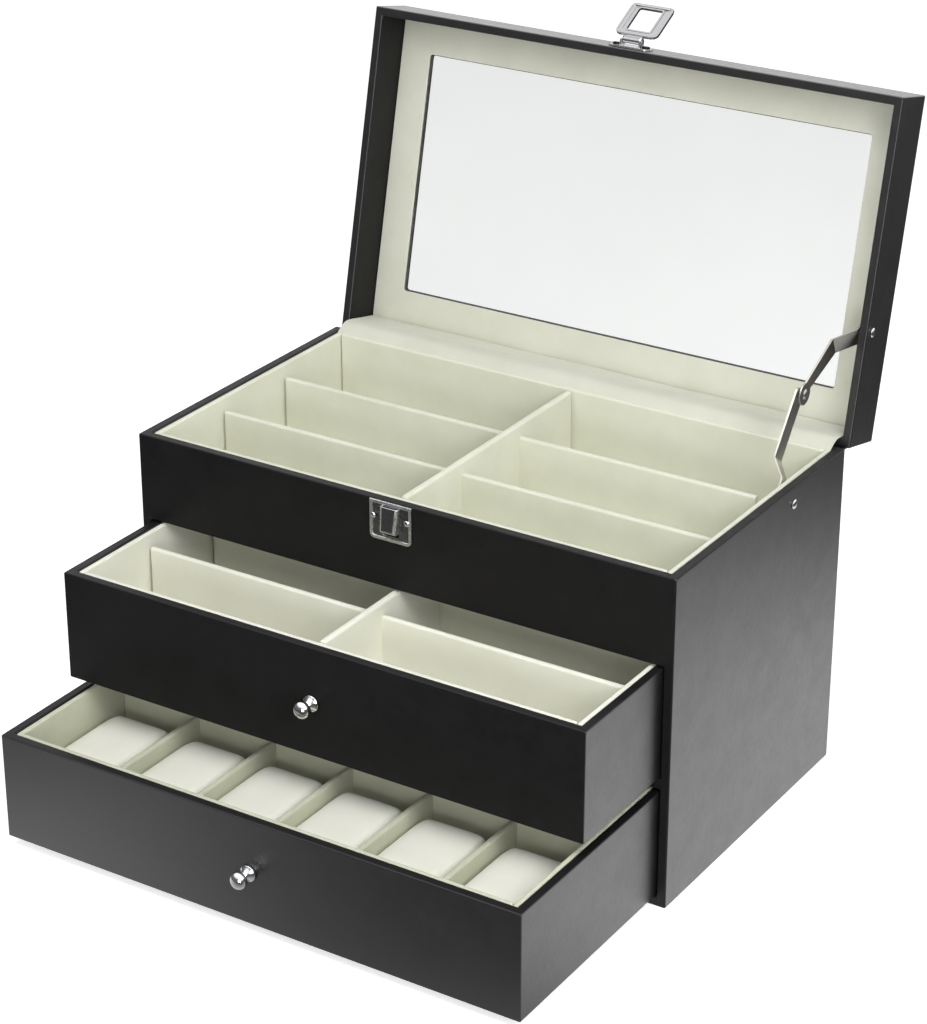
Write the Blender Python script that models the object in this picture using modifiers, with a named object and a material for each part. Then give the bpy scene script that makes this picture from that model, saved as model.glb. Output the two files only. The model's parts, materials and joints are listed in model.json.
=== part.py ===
"""Watch and glasses box: a leather-wrapped box with a glazed lid on a folding stay,
a tray under the lid, a drawer for glasses and a drawer with twelve watch pillows.

Metres, +Z up. The origin is the centre of the underside; the drawers open towards -Y.
Every piece is drawn where it sits with the box shut. The empties that carry the moving
pieces stand on their joints' axes, and are then moved to the open pose of the photograph.
"""
import bpy
import bmesh
from math import acos, asin, atan2, cos, hypot, pi, radians, sin, sqrt
from mathutils import Matrix, Vector

# Cabinet
CABINET_WIDTH = 0.335
CABINET_DEPTH = 0.190
CABINET_HEIGHT = 0.191
WALL_BOARD = 0.0055
BOTTOM_BOARD = 0.0055
SHELF_BOARD = 0.0062
TRAY_FLOOR_BOARD = 0.004
FASCIA_HEIGHT = 0.0505
FASCIA_REVEAL = 0.001
WRAPPED_EDGE = 0.0008
SEAT_GAP = 0.0003

# Fabric-covered card that lines the tray and the drawers
LINING_WALL = 0.003
LINING_FLOOR = 0.002
LINING_BELOW_RIM = 0.0003
LINING_EDGE = 0.0005
TRAY_ROWS = 3
CENTRE_DIVIDER = 0.004
CROSS_DIVIDER = 0.0035
CROSS_BELOW_RIM = 0.0075
STAY_NOTCH_LENGTH = 0.009
STAY_NOTCH_DEPTH = 0.0065

# Drawers
DRAWER_WALL = 0.0052
DRAWER_BOTTOM_BOARD = 0.003
DRAWER_BACK_PLAY = 0.002
DRAWER_SIDE_PLAY = 0.0006
DRAWER_HEADROOM = 0.002
DRAWER_HEIGHT_STEP = 0.0012
MIDDLE_DRAWER_OUT = 0.076
BOTTOM_DRAWER_OUT = 0.134

# Watch pillows and the grid between them
WATCH_COLUMNS = 6
END_COLUMN_EXTRA = 0.00405
FRONT_ROW_EXTRA = 0.007
GRID_BELOW_RIM = 0.013
PILLOW_SIDE_PLAY = 0.00185
PILLOW_END_PLAY = 0.00975
PILLOW_BELOW_RIM = 0.0161
PILLOW_CREASE = 0.0012
PILLOW_ROUNDING = 3.0
PILLOW_SIDE_ROUNDING = 5.0

# Knobs
KNOB_LENGTH = 0.0125
KNOB_HEAD_RADIUS = 0.005
KNOB_HEAD_DEPTH = 0.0078
KNOB_NECK_RADIUS = 0.0018
KNOB_BASE_RADIUS = 0.0047
KNOB_BASE_THICKNESS = 0.0012

# Lid
LID_THICKNESS = 0.030
LID_WALL = 0.005
LID_TOP_BOARD = 0.0035
LID_OVERHANG = 0.00075
LID_GAP = 0.0005
LID_OPEN_ANGLE = radians(102.5)
LID_PANEL = 0.0015
WINDOW_BORDER = 0.0255
WINDOW_CORNER = 0.004
GLASS_THICKNESS = 0.002
GLASS_LAP = 0.005
HINGE_BEHIND = 0.00175
HINGE_BELOW = 0.0028

# Leather hinge and the lining strip over it
FLAP_THICKNESS = 0.0008
FLAP_LENGTH = 0.020
FLAP_FROM_EDGE = 0.004
FLAP_FROM_SIDE = 0.003
STRIP_THICKNESS = 0.0008

# Folding stay at the right
STAY_THICKNESS = 0.0012
STAY_WIDTH = 0.0055
STAY_OPEN_BEND = radians(150.13)
LOWER_LINK_EXTRA = 0.004
STAY_BODY_PIVOT_FROM_BACK = 0.061
STAY_BODY_PIVOT_BELOW_RIM = 0.0095
STAY_LID_PIVOT_FROM_BACK = 0.064
STAY_LID_PIVOT_DEPTH = 0.0065
STAY_MID_FROM_SIDE = 0.0156
LOWER_BEND_START = 0.0115
LOWER_BEND_RUN = 0.010
UPPER_BEND_START = 0.005
UPPER_BEND_RUN = 0.011
RIVET_RADIUS = 0.0012
RIVET_HEAD_RADIUS = 0.0028
RIVET_HEAD_HEIGHT = 0.0012
STAY_DISC_RADIUS = 0.00625
STAY_DISC_THICKNESS = 0.001

# Catch plate on the fascia and hasp on the lid
CLASP_SHIFT = -0.001
CATCH_WIDTH = 0.026
CATCH_HEIGHT = 0.0222
CATCH_THICKNESS = 0.001
CATCH_CORNER = 0.003
CATCH_BELOW_RIM = 0.0003
CATCH_BEAD_RADIUS = 0.0009
TONGUE_WIDTH = 0.0115
TONGUE_WALL = 0.0009
TONGUE_STAND = 0.0040
TONGUE_HEIGHT = 0.0145
TONGUE_BELOW_RIM = 0.0025
TONGUE_BEND = 0.0015
CATCH_SLOT_HEIGHT = 0.002
CATCH_PIN_SPACING = 0.021
CATCH_PIN_BELOW_RIM = 0.0092
CATCH_PIN_RADIUS = 0.00175
CATCH_PIN_SHANK_RADIUS = 0.0007
CATCH_PIN_SHANK = 0.004
HASP_PIN_DEPTH = 0.007
HASP_PIN_STAND = 0.0045
HASP_PIN_RADIUS = 0.00095
HASP_BASE_WIDTH = 0.024
HASP_BASE_LENGTH = 0.011
HASP_BASE_THICKNESS = 0.001
HASP_BASE_CORNER = 0.0015
HASP_EAR_SPACING = 0.0118
HASP_EAR_THICKNESS = 0.0012
HASP_EAR_RADIUS = 0.0022
HASP_LOOP_WIDTH = 0.026
HASP_LOOP_REACH = 0.0285
HASP_LOOP_START = 0.0036
HASP_LOOP_RAIL = 0.003
HASP_LOOP_THICKNESS = 0.0013
HASP_LOOP_CORNER = 0.0035
HASP_LOOP_END_CORNER = 0.0015
HASP_LIP_RADIUS = 0.0009
HASP_REST_ANGLE = radians(41.0)

# Clearances that more than one piece uses
PIVOT_CLEARANCE = 0.0003
SLOT_CLEARANCE = 0.0003
OVERRUN = 0.002

ROUND_SIDES = 20
EDGE_SEGMENTS = 2
CORNER_STEPS = 5

# Turns that carry a drawing made in the XY plane to the way that its piece faces
FACING_UP = Matrix.Identity(3)
FACING_FRONT = Matrix(((1, 0, 0), (0, 0, -1), (0, 1, 0)))
FACING_RIGHT = Matrix(((0, 0, 1), (1, 0, 0), (0, 1, 0)))

# Levels and faces that several pieces share
HALF_WIDTH = CABINET_WIDTH / 2
HALF_DEPTH = CABINET_DEPTH / 2
INNER_HALF_WIDTH = HALF_WIDTH - WALL_BOARD - SEAT_GAP
INNER_FRONT = -HALF_DEPTH + WALL_BOARD + SEAT_GAP
INNER_BACK = HALF_DEPTH - WALL_BOARD - SEAT_GAP
FASCIA_UNDERSIDE = CABINET_HEIGHT - FASCIA_HEIGHT
DRAWER_SPACE = (FASCIA_UNDERSIDE - FASCIA_REVEAL - BOTTOM_BOARD - SHELF_BOARD
                - DRAWER_HEADROOM - 2 * SEAT_GAP)
BOTTOM_DRAWER_HEIGHT = (DRAWER_SPACE - DRAWER_HEIGHT_STEP) / 2
MIDDLE_DRAWER_HEIGHT = (DRAWER_SPACE + DRAWER_HEIGHT_STEP) / 2
DRAWER_LENGTH = CABINET_DEPTH - WALL_BOARD - DRAWER_BACK_PLAY
BOTTOM_DRAWER_FLOOR = BOTTOM_BOARD + SEAT_GAP
BOTTOM_DRAWER_TOP = BOTTOM_DRAWER_FLOOR + BOTTOM_DRAWER_HEIGHT
SHELF_UNDERSIDE = BOTTOM_DRAWER_TOP + DRAWER_HEADROOM
SHELF_TOP = SHELF_UNDERSIDE + SHELF_BOARD
MIDDLE_DRAWER_FLOOR = SHELF_TOP + SEAT_GAP
MIDDLE_DRAWER_TOP = MIDDLE_DRAWER_FLOOR + MIDDLE_DRAWER_HEIGHT
TRAY_FLOOR_UNDERSIDE = MIDDLE_DRAWER_TOP + DRAWER_HEADROOM
TRAY_FLOOR_TOP = TRAY_FLOOR_UNDERSIDE + TRAY_FLOOR_BOARD
TRAY_LINING_TOP = CABINET_HEIGHT - LINING_BELOW_RIM
HINGE_Y = HALF_DEPTH + HINGE_BEHIND
HINGE_Z = CABINET_HEIGHT - HINGE_BELOW
LID_RIM = CABINET_HEIGHT + LID_GAP
LID_TOP = LID_RIM + LID_THICKNESS
LID_FRAME_TOP = LID_TOP - LID_TOP_BOARD - SEAT_GAP
LID_BACK = HALF_DEPTH + LID_OVERHANG
LID_FRONT = -LID_BACK


def clear_scene():
    for obj in list(bpy.data.objects):
        bpy.data.objects.remove(obj, do_unlink=True)


def new_collection(name):
    collection = bpy.data.collections.new(name)
    bpy.context.scene.collection.children.link(collection)
    return collection


def new_material(name, colour, roughness, metallic=0.0):
    material = bpy.data.materials.new(name)
    material.use_nodes = True
    shader = material.node_tree.nodes["Principled BSDF"]
    shader.inputs["Base Color"].default_value = (*colour, 1.0)
    shader.inputs["Roughness"].default_value = roughness
    shader.inputs["Metallic"].default_value = metallic
    return material


clear_scene()
PARTS = new_collection("watch_and_glasses_box")
CUTTERS = new_collection("cutters")
LEATHER = new_material("black_leather", (0.015, 0.015, 0.016), 0.5)
LINING = new_material("cream_lining", (0.62, 0.64, 0.5), 0.95)
PILLOW = new_material("pillow_velvet", (0.78, 0.8, 0.66), 0.95)
CHROME = new_material("chrome", (0.75, 0.75, 0.76), 0.12, 1.0)
STEEL = new_material("stay_steel", (0.4, 0.4, 0.38), 0.4, 1.0)
GLASS = new_material("window_glass", (0.85, 0.88, 0.88), 0.05)
GLASS.node_tree.nodes["Principled BSDF"].inputs["Transmission Weight"].default_value = 1.0


def new_object(name, mesh, material=None):
    """Put a mesh in the model, or among the cutters where it has no material."""
    obj = bpy.data.objects.new(name, mesh)
    if material is None:
        CUTTERS.objects.link(obj)
        obj.hide_render = True
        obj.display_type = "WIRE"
    else:
        PARTS.objects.link(obj)
        mesh.materials.append(material)
    return obj


def box(name, low, high, material=None, edge=0.0, segments=EDGE_SEGMENTS):
    """A board between two corners, its edges rounded where an edge radius is given."""
    low = Vector(low)
    high = Vector(high)
    shape = bmesh.new()
    bmesh.ops.create_cube(shape, size=1.0)
    bmesh.ops.scale(shape, vec=high - low, verts=shape.verts)
    mesh = bpy.data.meshes.new(name)
    shape.to_mesh(mesh)
    shape.free()
    obj = new_object(name, mesh, material)
    obj.location = (low + high) / 2
    if edge:
        bevel = obj.modifiers.new("rounded_edges", "BEVEL")
        bevel.width = edge
        bevel.segments = segments
    return obj


def rod(name, centre, radius, length, material=None, sides=ROUND_SIDES):
    """A cylinder that runs along X."""
    shape = bmesh.new()
    bmesh.ops.create_cone(shape, cap_ends=True, segments=sides, radius1=radius,
                          radius2=radius, depth=length)
    mesh = bpy.data.meshes.new(name)
    shape.to_mesh(mesh)
    shape.free()
    obj = new_object(name, mesh, material)
    obj.location = centre
    obj.rotation_euler = FACING_RIGHT.to_euler()
    return obj


def cutout(name, loops, thickness, centre, turn=FACING_UP, material=None):
    """A flat plate cut to closed outlines; an outline inside another is a hole."""
    curve = bpy.data.curves.new(name, "CURVE")
    curve.dimensions = "2D"
    curve.fill_mode = "BOTH"
    curve.extrude = thickness / 2
    for loop in loops:
        spline = curve.splines.new("POLY")
        spline.points.add(len(loop) - 1)
        for point, place in zip(spline.points, loop):
            point.co = (*place, 0.0, 1.0)
        spline.use_cyclic_u = True
    drawing = bpy.data.objects.new(name, curve)
    PARTS.objects.link(drawing)
    bpy.context.view_layer.update()
    evaluated = drawing.evaluated_get(bpy.context.evaluated_depsgraph_get())
    mesh = bpy.data.meshes.new_from_object(evaluated)
    bpy.data.objects.remove(drawing, do_unlink=True)
    shape = bmesh.new()
    shape.from_mesh(mesh)
    bmesh.ops.remove_doubles(shape, verts=shape.verts, dist=SEAT_GAP / 100)
    bmesh.ops.recalc_face_normals(shape, faces=shape.faces)
    shape.to_mesh(mesh)
    shape.free()
    mesh.name = name
    obj = new_object(name, mesh, material)
    obj.location = centre
    obj.rotation_euler = turn.to_euler()
    return obj


def turned(name, profile, centre, turn, material):
    """A turned piece: radii and heights, from its top down to its foot, spun about Z."""
    mesh = bpy.data.meshes.new(name)
    verts = [(radius, 0.0, height) for radius, height in profile]
    edges = [(index, index + 1) for index in range(len(verts) - 1)]
    mesh.from_pydata(verts, edges, [])
    obj = new_object(name, mesh, material)
    screw = obj.modifiers.new("turn", "SCREW")
    screw.axis = "Z"
    screw.steps = ROUND_SIDES
    screw.render_steps = ROUND_SIDES
    screw.use_merge_vertices = True
    screw.merge_threshold = SEAT_GAP / 100
    screw.use_smooth_shade = True
    obj.location = centre
    obj.rotation_euler = turn.to_euler()
    return obj


def change(obj, tool, operation):
    """Cut a piece with a tool, or join the tool's shape to it."""
    boolean = obj.modifiers.new(tool.name, "BOOLEAN")
    boolean.operation = operation
    boolean.solver = "EXACT"
    boolean.object = tool


def cut(obj, tool):
    change(obj, tool, "DIFFERENCE")


def join(obj, tool):
    change(obj, tool, "UNION")


def round_shading(obj):
    obj.data.shade_smooth()
    obj.data.set_sharp_from_angle(angle=radians(40.0))


def corner_arc(x, y, radius, start, turn=pi / 2):
    """Points of a rounded corner about a centre, from a start angle."""
    angles = [start + turn * step / CORNER_STEPS for step in range(CORNER_STEPS + 1)]
    return [(x + radius * cos(angle), y + radius * sin(angle)) for angle in angles]


def rounded_outline(low, high, low_radius, high_radius):
    """A rectangle with one radius for its two lower corners and one for its upper two."""
    points = corner_arc(low[0] + low_radius, low[1] + low_radius, low_radius, pi)
    points += corner_arc(high[0] - low_radius, low[1] + low_radius, low_radius, -pi / 2)
    points += corner_arc(high[0] - high_radius, high[1] - high_radius, high_radius, 0.0)
    points += corner_arc(low[0] + high_radius, high[1] - high_radius, high_radius, pi / 2)
    return points


def stadium(length, radius):
    """A bar with round ends, from its first pivot at the origin along +X."""
    half_turn = 2 * CORNER_STEPS
    points = []
    for centre, start in ((0.0, pi / 2), (length, -pi / 2)):
        for step in range(half_turn + 1):
            angle = start + pi * step / half_turn
            points.append((centre + radius * cos(angle), radius * sin(angle)))
    return points


def axis_empty(name, place, carrier=None):
    """An empty on a joint's axis. Returns it, to be moved once its pieces hang on it."""
    empty = bpy.data.objects.new(name, None)
    PARTS.objects.link(empty)
    empty.location = place
    bpy.context.view_layer.update()
    if carrier:
        hang(empty, carrier)
    return empty


def hang(obj, empty):
    """Parent a piece, with the tools that shape it, to an empty and keep its place."""
    bpy.context.view_layer.update()
    place = obj.matrix_world.copy()
    obj.parent = empty
    obj.matrix_parent_inverse = empty.matrix_world.inverted()
    obj.matrix_world = place
    for modifier in obj.modifiers:
        if modifier.type == "BOOLEAN" and modifier.object.parent is None:
            hang(modifier.object, empty)


def make_cabinet():
    for side, name in ((-1, "cabinet_left_side"), (1, "cabinet_right_side")):
        outer = side * HALF_WIDTH
        inner = outer - side * WALL_BOARD
        wall = box(name, (min(outer, inner), -HALF_DEPTH, 0.0),
                   (max(outer, inner), HALF_DEPTH, CABINET_HEIGHT), LEATHER, WRAPPED_EDGE)
        if side > 0:
            cut(wall, rivet_hole("side_rivet_hole", HALF_WIDTH, STAY_BODY_PIVOT))
    box("cabinet_back", (-INNER_HALF_WIDTH, HALF_DEPTH - WALL_BOARD, 0.0),
        (INNER_HALF_WIDTH, HALF_DEPTH, CABINET_HEIGHT), LEATHER, WRAPPED_EDGE)
    box("cabinet_bottom", (-INNER_HALF_WIDTH, -HALF_DEPTH, 0.0),
        (INNER_HALF_WIDTH, INNER_BACK, BOTTOM_BOARD), LEATHER, WRAPPED_EDGE)
    box("cabinet_fascia", (-INNER_HALF_WIDTH, -HALF_DEPTH, FASCIA_UNDERSIDE),
        (INNER_HALF_WIDTH, -HALF_DEPTH + WALL_BOARD, CABINET_HEIGHT), LEATHER, WRAPPED_EDGE)
    box("drawer_shelf", (-INNER_HALF_WIDTH, -HALF_DEPTH, SHELF_UNDERSIDE),
        (INNER_HALF_WIDTH, INNER_BACK, SHELF_TOP), LEATHER, WRAPPED_EDGE)
    box("tray_floor", (-INNER_HALF_WIDTH, INNER_FRONT, TRAY_FLOOR_UNDERSIDE),
        (INNER_HALF_WIDTH, INNER_BACK, TRAY_FLOOR_TOP), LEATHER)


def lined_box(name, low, high):
    """An open box of lined card between two corners, with its inner corners returned."""
    lining = box(name, low, high, LINING, LINING_EDGE, segments=1)
    inner_low = Vector(low) + Vector((LINING_WALL, LINING_WALL, LINING_FLOOR))
    inner_high = Vector(high) - Vector((LINING_WALL, LINING_WALL, 0.0))
    cut(lining, box(name + "_hollow", inner_low, inner_high + Vector((0.0, 0.0, OVERRUN))))
    return lining, inner_low, inner_high


def make_dividers(prefix, low, high):
    """One divider from front to back, and two across it that are halved over it."""
    floor = low.z + SEAT_GAP
    cross_top = high.z - CROSS_BELOW_RIM
    halving = (floor + cross_top) / 2
    centre = box(prefix + "_centre_divider",
                 (-CENTRE_DIVIDER / 2, low.y + SEAT_GAP, floor),
                 (CENTRE_DIVIDER / 2, high.y - SEAT_GAP, high.z), LINING, LINING_EDGE)
    row = (high.y - low.y - (TRAY_ROWS - 1) * CROSS_DIVIDER) / TRAY_ROWS
    crosses = []
    for index, where in enumerate(("front", "back")):
        start = low.y + (index + 1) * row + index * CROSS_DIVIDER
        cross = box(f"{prefix}_cross_divider_{where}", (low.x + SEAT_GAP, start, floor),
                    (high.x - SEAT_GAP, start + CROSS_DIVIDER, cross_top), LINING, LINING_EDGE)
        half_slot = CENTRE_DIVIDER / 2 + SLOT_CLEARANCE
        cut(cross, box(f"{prefix}_cross_slot_{where}",
                       (-half_slot, start - OVERRUN, halving),
                       (half_slot, start + CROSS_DIVIDER + OVERRUN, cross_top + OVERRUN)))
        cut(centre, box(f"{prefix}_centre_slot_{where}",
                        (-CENTRE_DIVIDER, start - SLOT_CLEARANCE, floor - OVERRUN),
                        (CENTRE_DIVIDER, start + CROSS_DIVIDER + SLOT_CLEARANCE,
                         halving + SLOT_CLEARANCE)))
        crosses.append(cross)
    return [centre] + crosses


def make_tray():
    low = (-INNER_HALF_WIDTH, INNER_FRONT, TRAY_FLOOR_TOP + SEAT_GAP)
    high = (INNER_HALF_WIDTH, INNER_BACK, TRAY_LINING_TOP)
    lining, inner_low, inner_high = lined_box("tray_lining", low, high)
    cut(lining, rivet_hole("lining_rivet_hole", HALF_WIDTH, STAY_BODY_PIVOT))
    _, _, cross_back = make_dividers("tray", inner_low, inner_high)
    cross_top = inner_high.z - CROSS_BELOW_RIM
    notch_low = (inner_high.x - STAY_NOTCH_LENGTH, inner_low.y, cross_top - STAY_NOTCH_DEPTH)
    notch_high = (inner_high.x + OVERRUN, inner_high.y, cross_top + OVERRUN)
    cut(cross_back, box("stay_notch", notch_low, notch_high))


def make_drawer_case(prefix, floor, height):
    """The boards and the lining of one drawer, drawn pushed in. Returns them all."""
    half = INNER_HALF_WIDTH + SEAT_GAP - DRAWER_SIDE_PLAY
    front = -HALF_DEPTH
    back = front + DRAWER_LENGTH
    top = floor + height
    inner_half = half - DRAWER_WALL - SEAT_GAP
    side_front = front + DRAWER_WALL + SEAT_GAP
    side_back = back - DRAWER_WALL - SEAT_GAP
    pieces = [
        box(prefix + "_front", (-half, front, floor), (half, front + DRAWER_WALL, top),
            LEATHER, WRAPPED_EDGE),
        box(prefix + "_left_side", (-half, side_front, floor),
            (-half + DRAWER_WALL, back, top), LEATHER, WRAPPED_EDGE),
        box(prefix + "_right_side", (half - DRAWER_WALL, side_front, floor),
            (half, back, top), LEATHER, WRAPPED_EDGE),
        box(prefix + "_back", (-inner_half, back - DRAWER_WALL, floor),
            (inner_half, back, top), LEATHER, WRAPPED_EDGE),
        box(prefix + "_bottom", (-inner_half, side_front, floor),
            (inner_half, side_back, floor + DRAWER_BOTTOM_BOARD), LEATHER),
    ]
    low = (-inner_half, side_front, floor + DRAWER_BOTTOM_BOARD + SEAT_GAP)
    high = (inner_half, side_back, top - LINING_BELOW_RIM)
    lining, inner_low, inner_high = lined_box(prefix + "_lining", low, high)
    pieces.append(lining)
    pieces.append(make_knob(prefix + "_knob", floor + height / 2))
    return pieces, inner_low, inner_high


def make_knob(name, height):
    """A turned knob: a flat foot, a narrow neck and a round head."""
    head_radius = KNOB_HEAD_RADIUS
    half_head = KNOB_HEAD_DEPTH / 2
    head_centre = KNOB_LENGTH - half_head
    neck_angle = asin(KNOB_NECK_RADIUS / head_radius)
    head_steps = 2 * CORNER_STEPS
    profile = []
    for step in range(head_steps + 1):
        angle = (pi - neck_angle) * step / head_steps
        profile.append((head_radius * sin(angle), head_centre + half_head * cos(angle)))
    neck_foot = KNOB_BASE_THICKNESS + KNOB_BASE_RADIUS - KNOB_NECK_RADIUS
    profile.append((KNOB_NECK_RADIUS, neck_foot))
    profile.append(((KNOB_NECK_RADIUS + KNOB_BASE_RADIUS) / 2,
                    (neck_foot + KNOB_BASE_THICKNESS * 2) / 3))
    profile.append((KNOB_BASE_RADIUS, KNOB_BASE_THICKNESS))
    profile.append((KNOB_BASE_RADIUS, 0.0))
    profile.append((0.0, 0.0))
    place = (0.0, -HALF_DEPTH - SEAT_GAP, height)
    return turned(name, profile, place, FACING_FRONT, CHROME)


def make_middle_drawer():
    pieces, low, high = make_drawer_case("middle_drawer", MIDDLE_DRAWER_FLOOR,
                                         MIDDLE_DRAWER_HEIGHT)
    pieces += make_dividers("middle_drawer", low, high)
    carrier = axis_empty("middle_drawer_slide", (0.0, 0.0, MIDDLE_DRAWER_FLOOR))
    for piece in pieces:
        hang(piece, carrier)
    carrier.location.y -= MIDDLE_DRAWER_OUT


def watch_layout(low, high):
    """The clear width of a middle column, and where the divider across the rows starts."""
    column = (high.x - low.x - (WATCH_COLUMNS - 1) * CROSS_DIVIDER - 2 * END_COLUMN_EXTRA)
    column /= WATCH_COLUMNS
    row_line = (low.y + high.y - CROSS_DIVIDER + FRONT_ROW_EXTRA) / 2
    return column, row_line


def divider_grid(low, high, column, row_line):
    """Five dividers from front to back and one across, halved and glued into a grid."""
    floor = low.z + SEAT_GAP
    top = high.z - GRID_BELOW_RIM
    grid = box("watch_divider_grid", (low.x + SEAT_GAP, row_line, floor),
               (high.x - SEAT_GAP, row_line + CROSS_DIVIDER, top), LINING)
    for index in range(WATCH_COLUMNS - 1):
        middle = (index - (WATCH_COLUMNS - 2) / 2) * (column + CROSS_DIVIDER)
        join(grid, box(f"grid_divider_{index + 1}",
                       (middle - CROSS_DIVIDER / 2, low.y + SEAT_GAP, floor),
                       (middle + CROSS_DIVIDER / 2, high.y - SEAT_GAP, top)))
    return grid


def pillow_mesh(size):
    """A pillow whose length and height are well rounded, with sides drawn in between
    its corners and a crown on its broad faces."""
    cage_cuts = 2
    shape = bmesh.new()
    bmesh.ops.create_cube(shape, size=2.0)
    bmesh.ops.subdivide_edges(shape, edges=shape.edges, cuts=cage_cuts, use_grid_fill=True)
    for vert in shape.verts:
        x, y, z = vert.co
        round_sum = (abs(y) ** PILLOW_ROUNDING + abs(z) ** PILLOW_ROUNDING)
        shrink = round_sum ** (-1 / PILLOW_ROUNDING) if round_sum else 1.0
        reach = max(abs(y), abs(z))
        side_shrink = (1 + reach ** PILLOW_SIDE_ROUNDING) ** (-1 / PILLOW_SIDE_ROUNDING)
        end_shrink = (1 + abs(x) ** PILLOW_SIDE_ROUNDING) ** (-1 / PILLOW_SIDE_ROUNDING)
        vert.co.y = y * shrink * reach * end_shrink
        vert.co.z = z * shrink * reach * end_shrink
        vert.co.x = x * side_shrink
    half_size = size / 2
    widest = Vector([max(vert.co[axis] for vert in shape.verts) for axis in range(3)])
    for vert in shape.verts:
        for axis in range(3):
            vert.co[axis] *= half_size[axis] / widest[axis]
        inward = 1 - abs(vert.co.y) / half_size.y
        vert.co.x -= PILLOW_CREASE * inward * vert.co.x / half_size.x
    mesh = bpy.data.meshes.new("watch_pillow")
    shape.to_mesh(mesh)
    shape.free()
    mesh.shade_smooth()
    return mesh


def soften(obj):
    """Smooth a pillow's cage."""
    smoothing = obj.modifiers.new("soften", "SUBSURF")
    smoothing.levels = 1
    smoothing.render_levels = 1


def stretch_to_size(pillow, size):
    """Stretch the cage that the pillows share until the smoothed pillow has its size."""
    bpy.context.view_layer.update()
    evaluated = pillow.evaluated_get(bpy.context.evaluated_depsgraph_get())
    reach = [max(vert.co[axis] for vert in evaluated.data.vertices) for axis in range(3)]
    stretch = Matrix.Diagonal([half / now for half, now in zip(size / 2, reach)]).to_4x4()
    pillow.data.transform(stretch)


def make_pillows(low, high, column, row_line):
    """Twelve pillows on the floor of the watch drawer, each in its own compartment."""
    back_row_length = high.y - row_line - CROSS_DIVIDER
    floor = low.z + SEAT_GAP
    size = Vector((column - 2 * PILLOW_SIDE_PLAY, back_row_length - 2 * PILLOW_END_PLAY,
                   high.z - PILLOW_BELOW_RIM - floor))
    mesh = pillow_mesh(size)
    mesh.materials.append(PILLOW)
    rows = (("front", (low.y + row_line) / 2),
            ("back", (row_line + CROSS_DIVIDER + high.y) / 2))
    pitch = column + CROSS_DIVIDER
    end_centre = ((WATCH_COLUMNS / 2 - 1) * pitch + CROSS_DIVIDER / 2 + high.x) / 2
    pillows = []
    for row, middle in rows:
        for index in range(WATCH_COLUMNS):
            across = (index - (WATCH_COLUMNS - 1) / 2) * pitch
            if index == 0:
                across = -end_centre
            if index == WATCH_COLUMNS - 1:
                across = end_centre
            pillow = bpy.data.objects.new(f"watch_pillow_{row}_{index + 1}", mesh)
            PARTS.objects.link(pillow)
            soften(pillow)
            pillow.location = (across, middle, floor + size.z / 2)
            pillows.append(pillow)
    stretch_to_size(pillows[0], size)
    return pillows


def make_bottom_drawer():
    pieces, low, high = make_drawer_case("bottom_drawer", BOTTOM_DRAWER_FLOOR,
                                         BOTTOM_DRAWER_HEIGHT)
    column, row_line = watch_layout(low, high)
    pieces.append(divider_grid(low, high, column, row_line))
    pieces += make_pillows(low, high, column, row_line)
    carrier = axis_empty("bottom_drawer_slide", (0.0, 0.0, BOTTOM_DRAWER_FLOOR))
    for piece in pieces:
        hang(piece, carrier)
    carrier.location.y -= BOTTOM_DRAWER_OUT


def window_outline(grow):
    """The window's outline in the lid, with its edge moved outwards by grow."""
    half_x = HALF_WIDTH - WINDOW_BORDER + grow
    half_y = LID_BACK - WINDOW_BORDER + grow
    corner = WINDOW_CORNER + max(grow, 0.0)
    return rounded_outline((-half_x, -half_y), (half_x, half_y), corner, corner)


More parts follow.
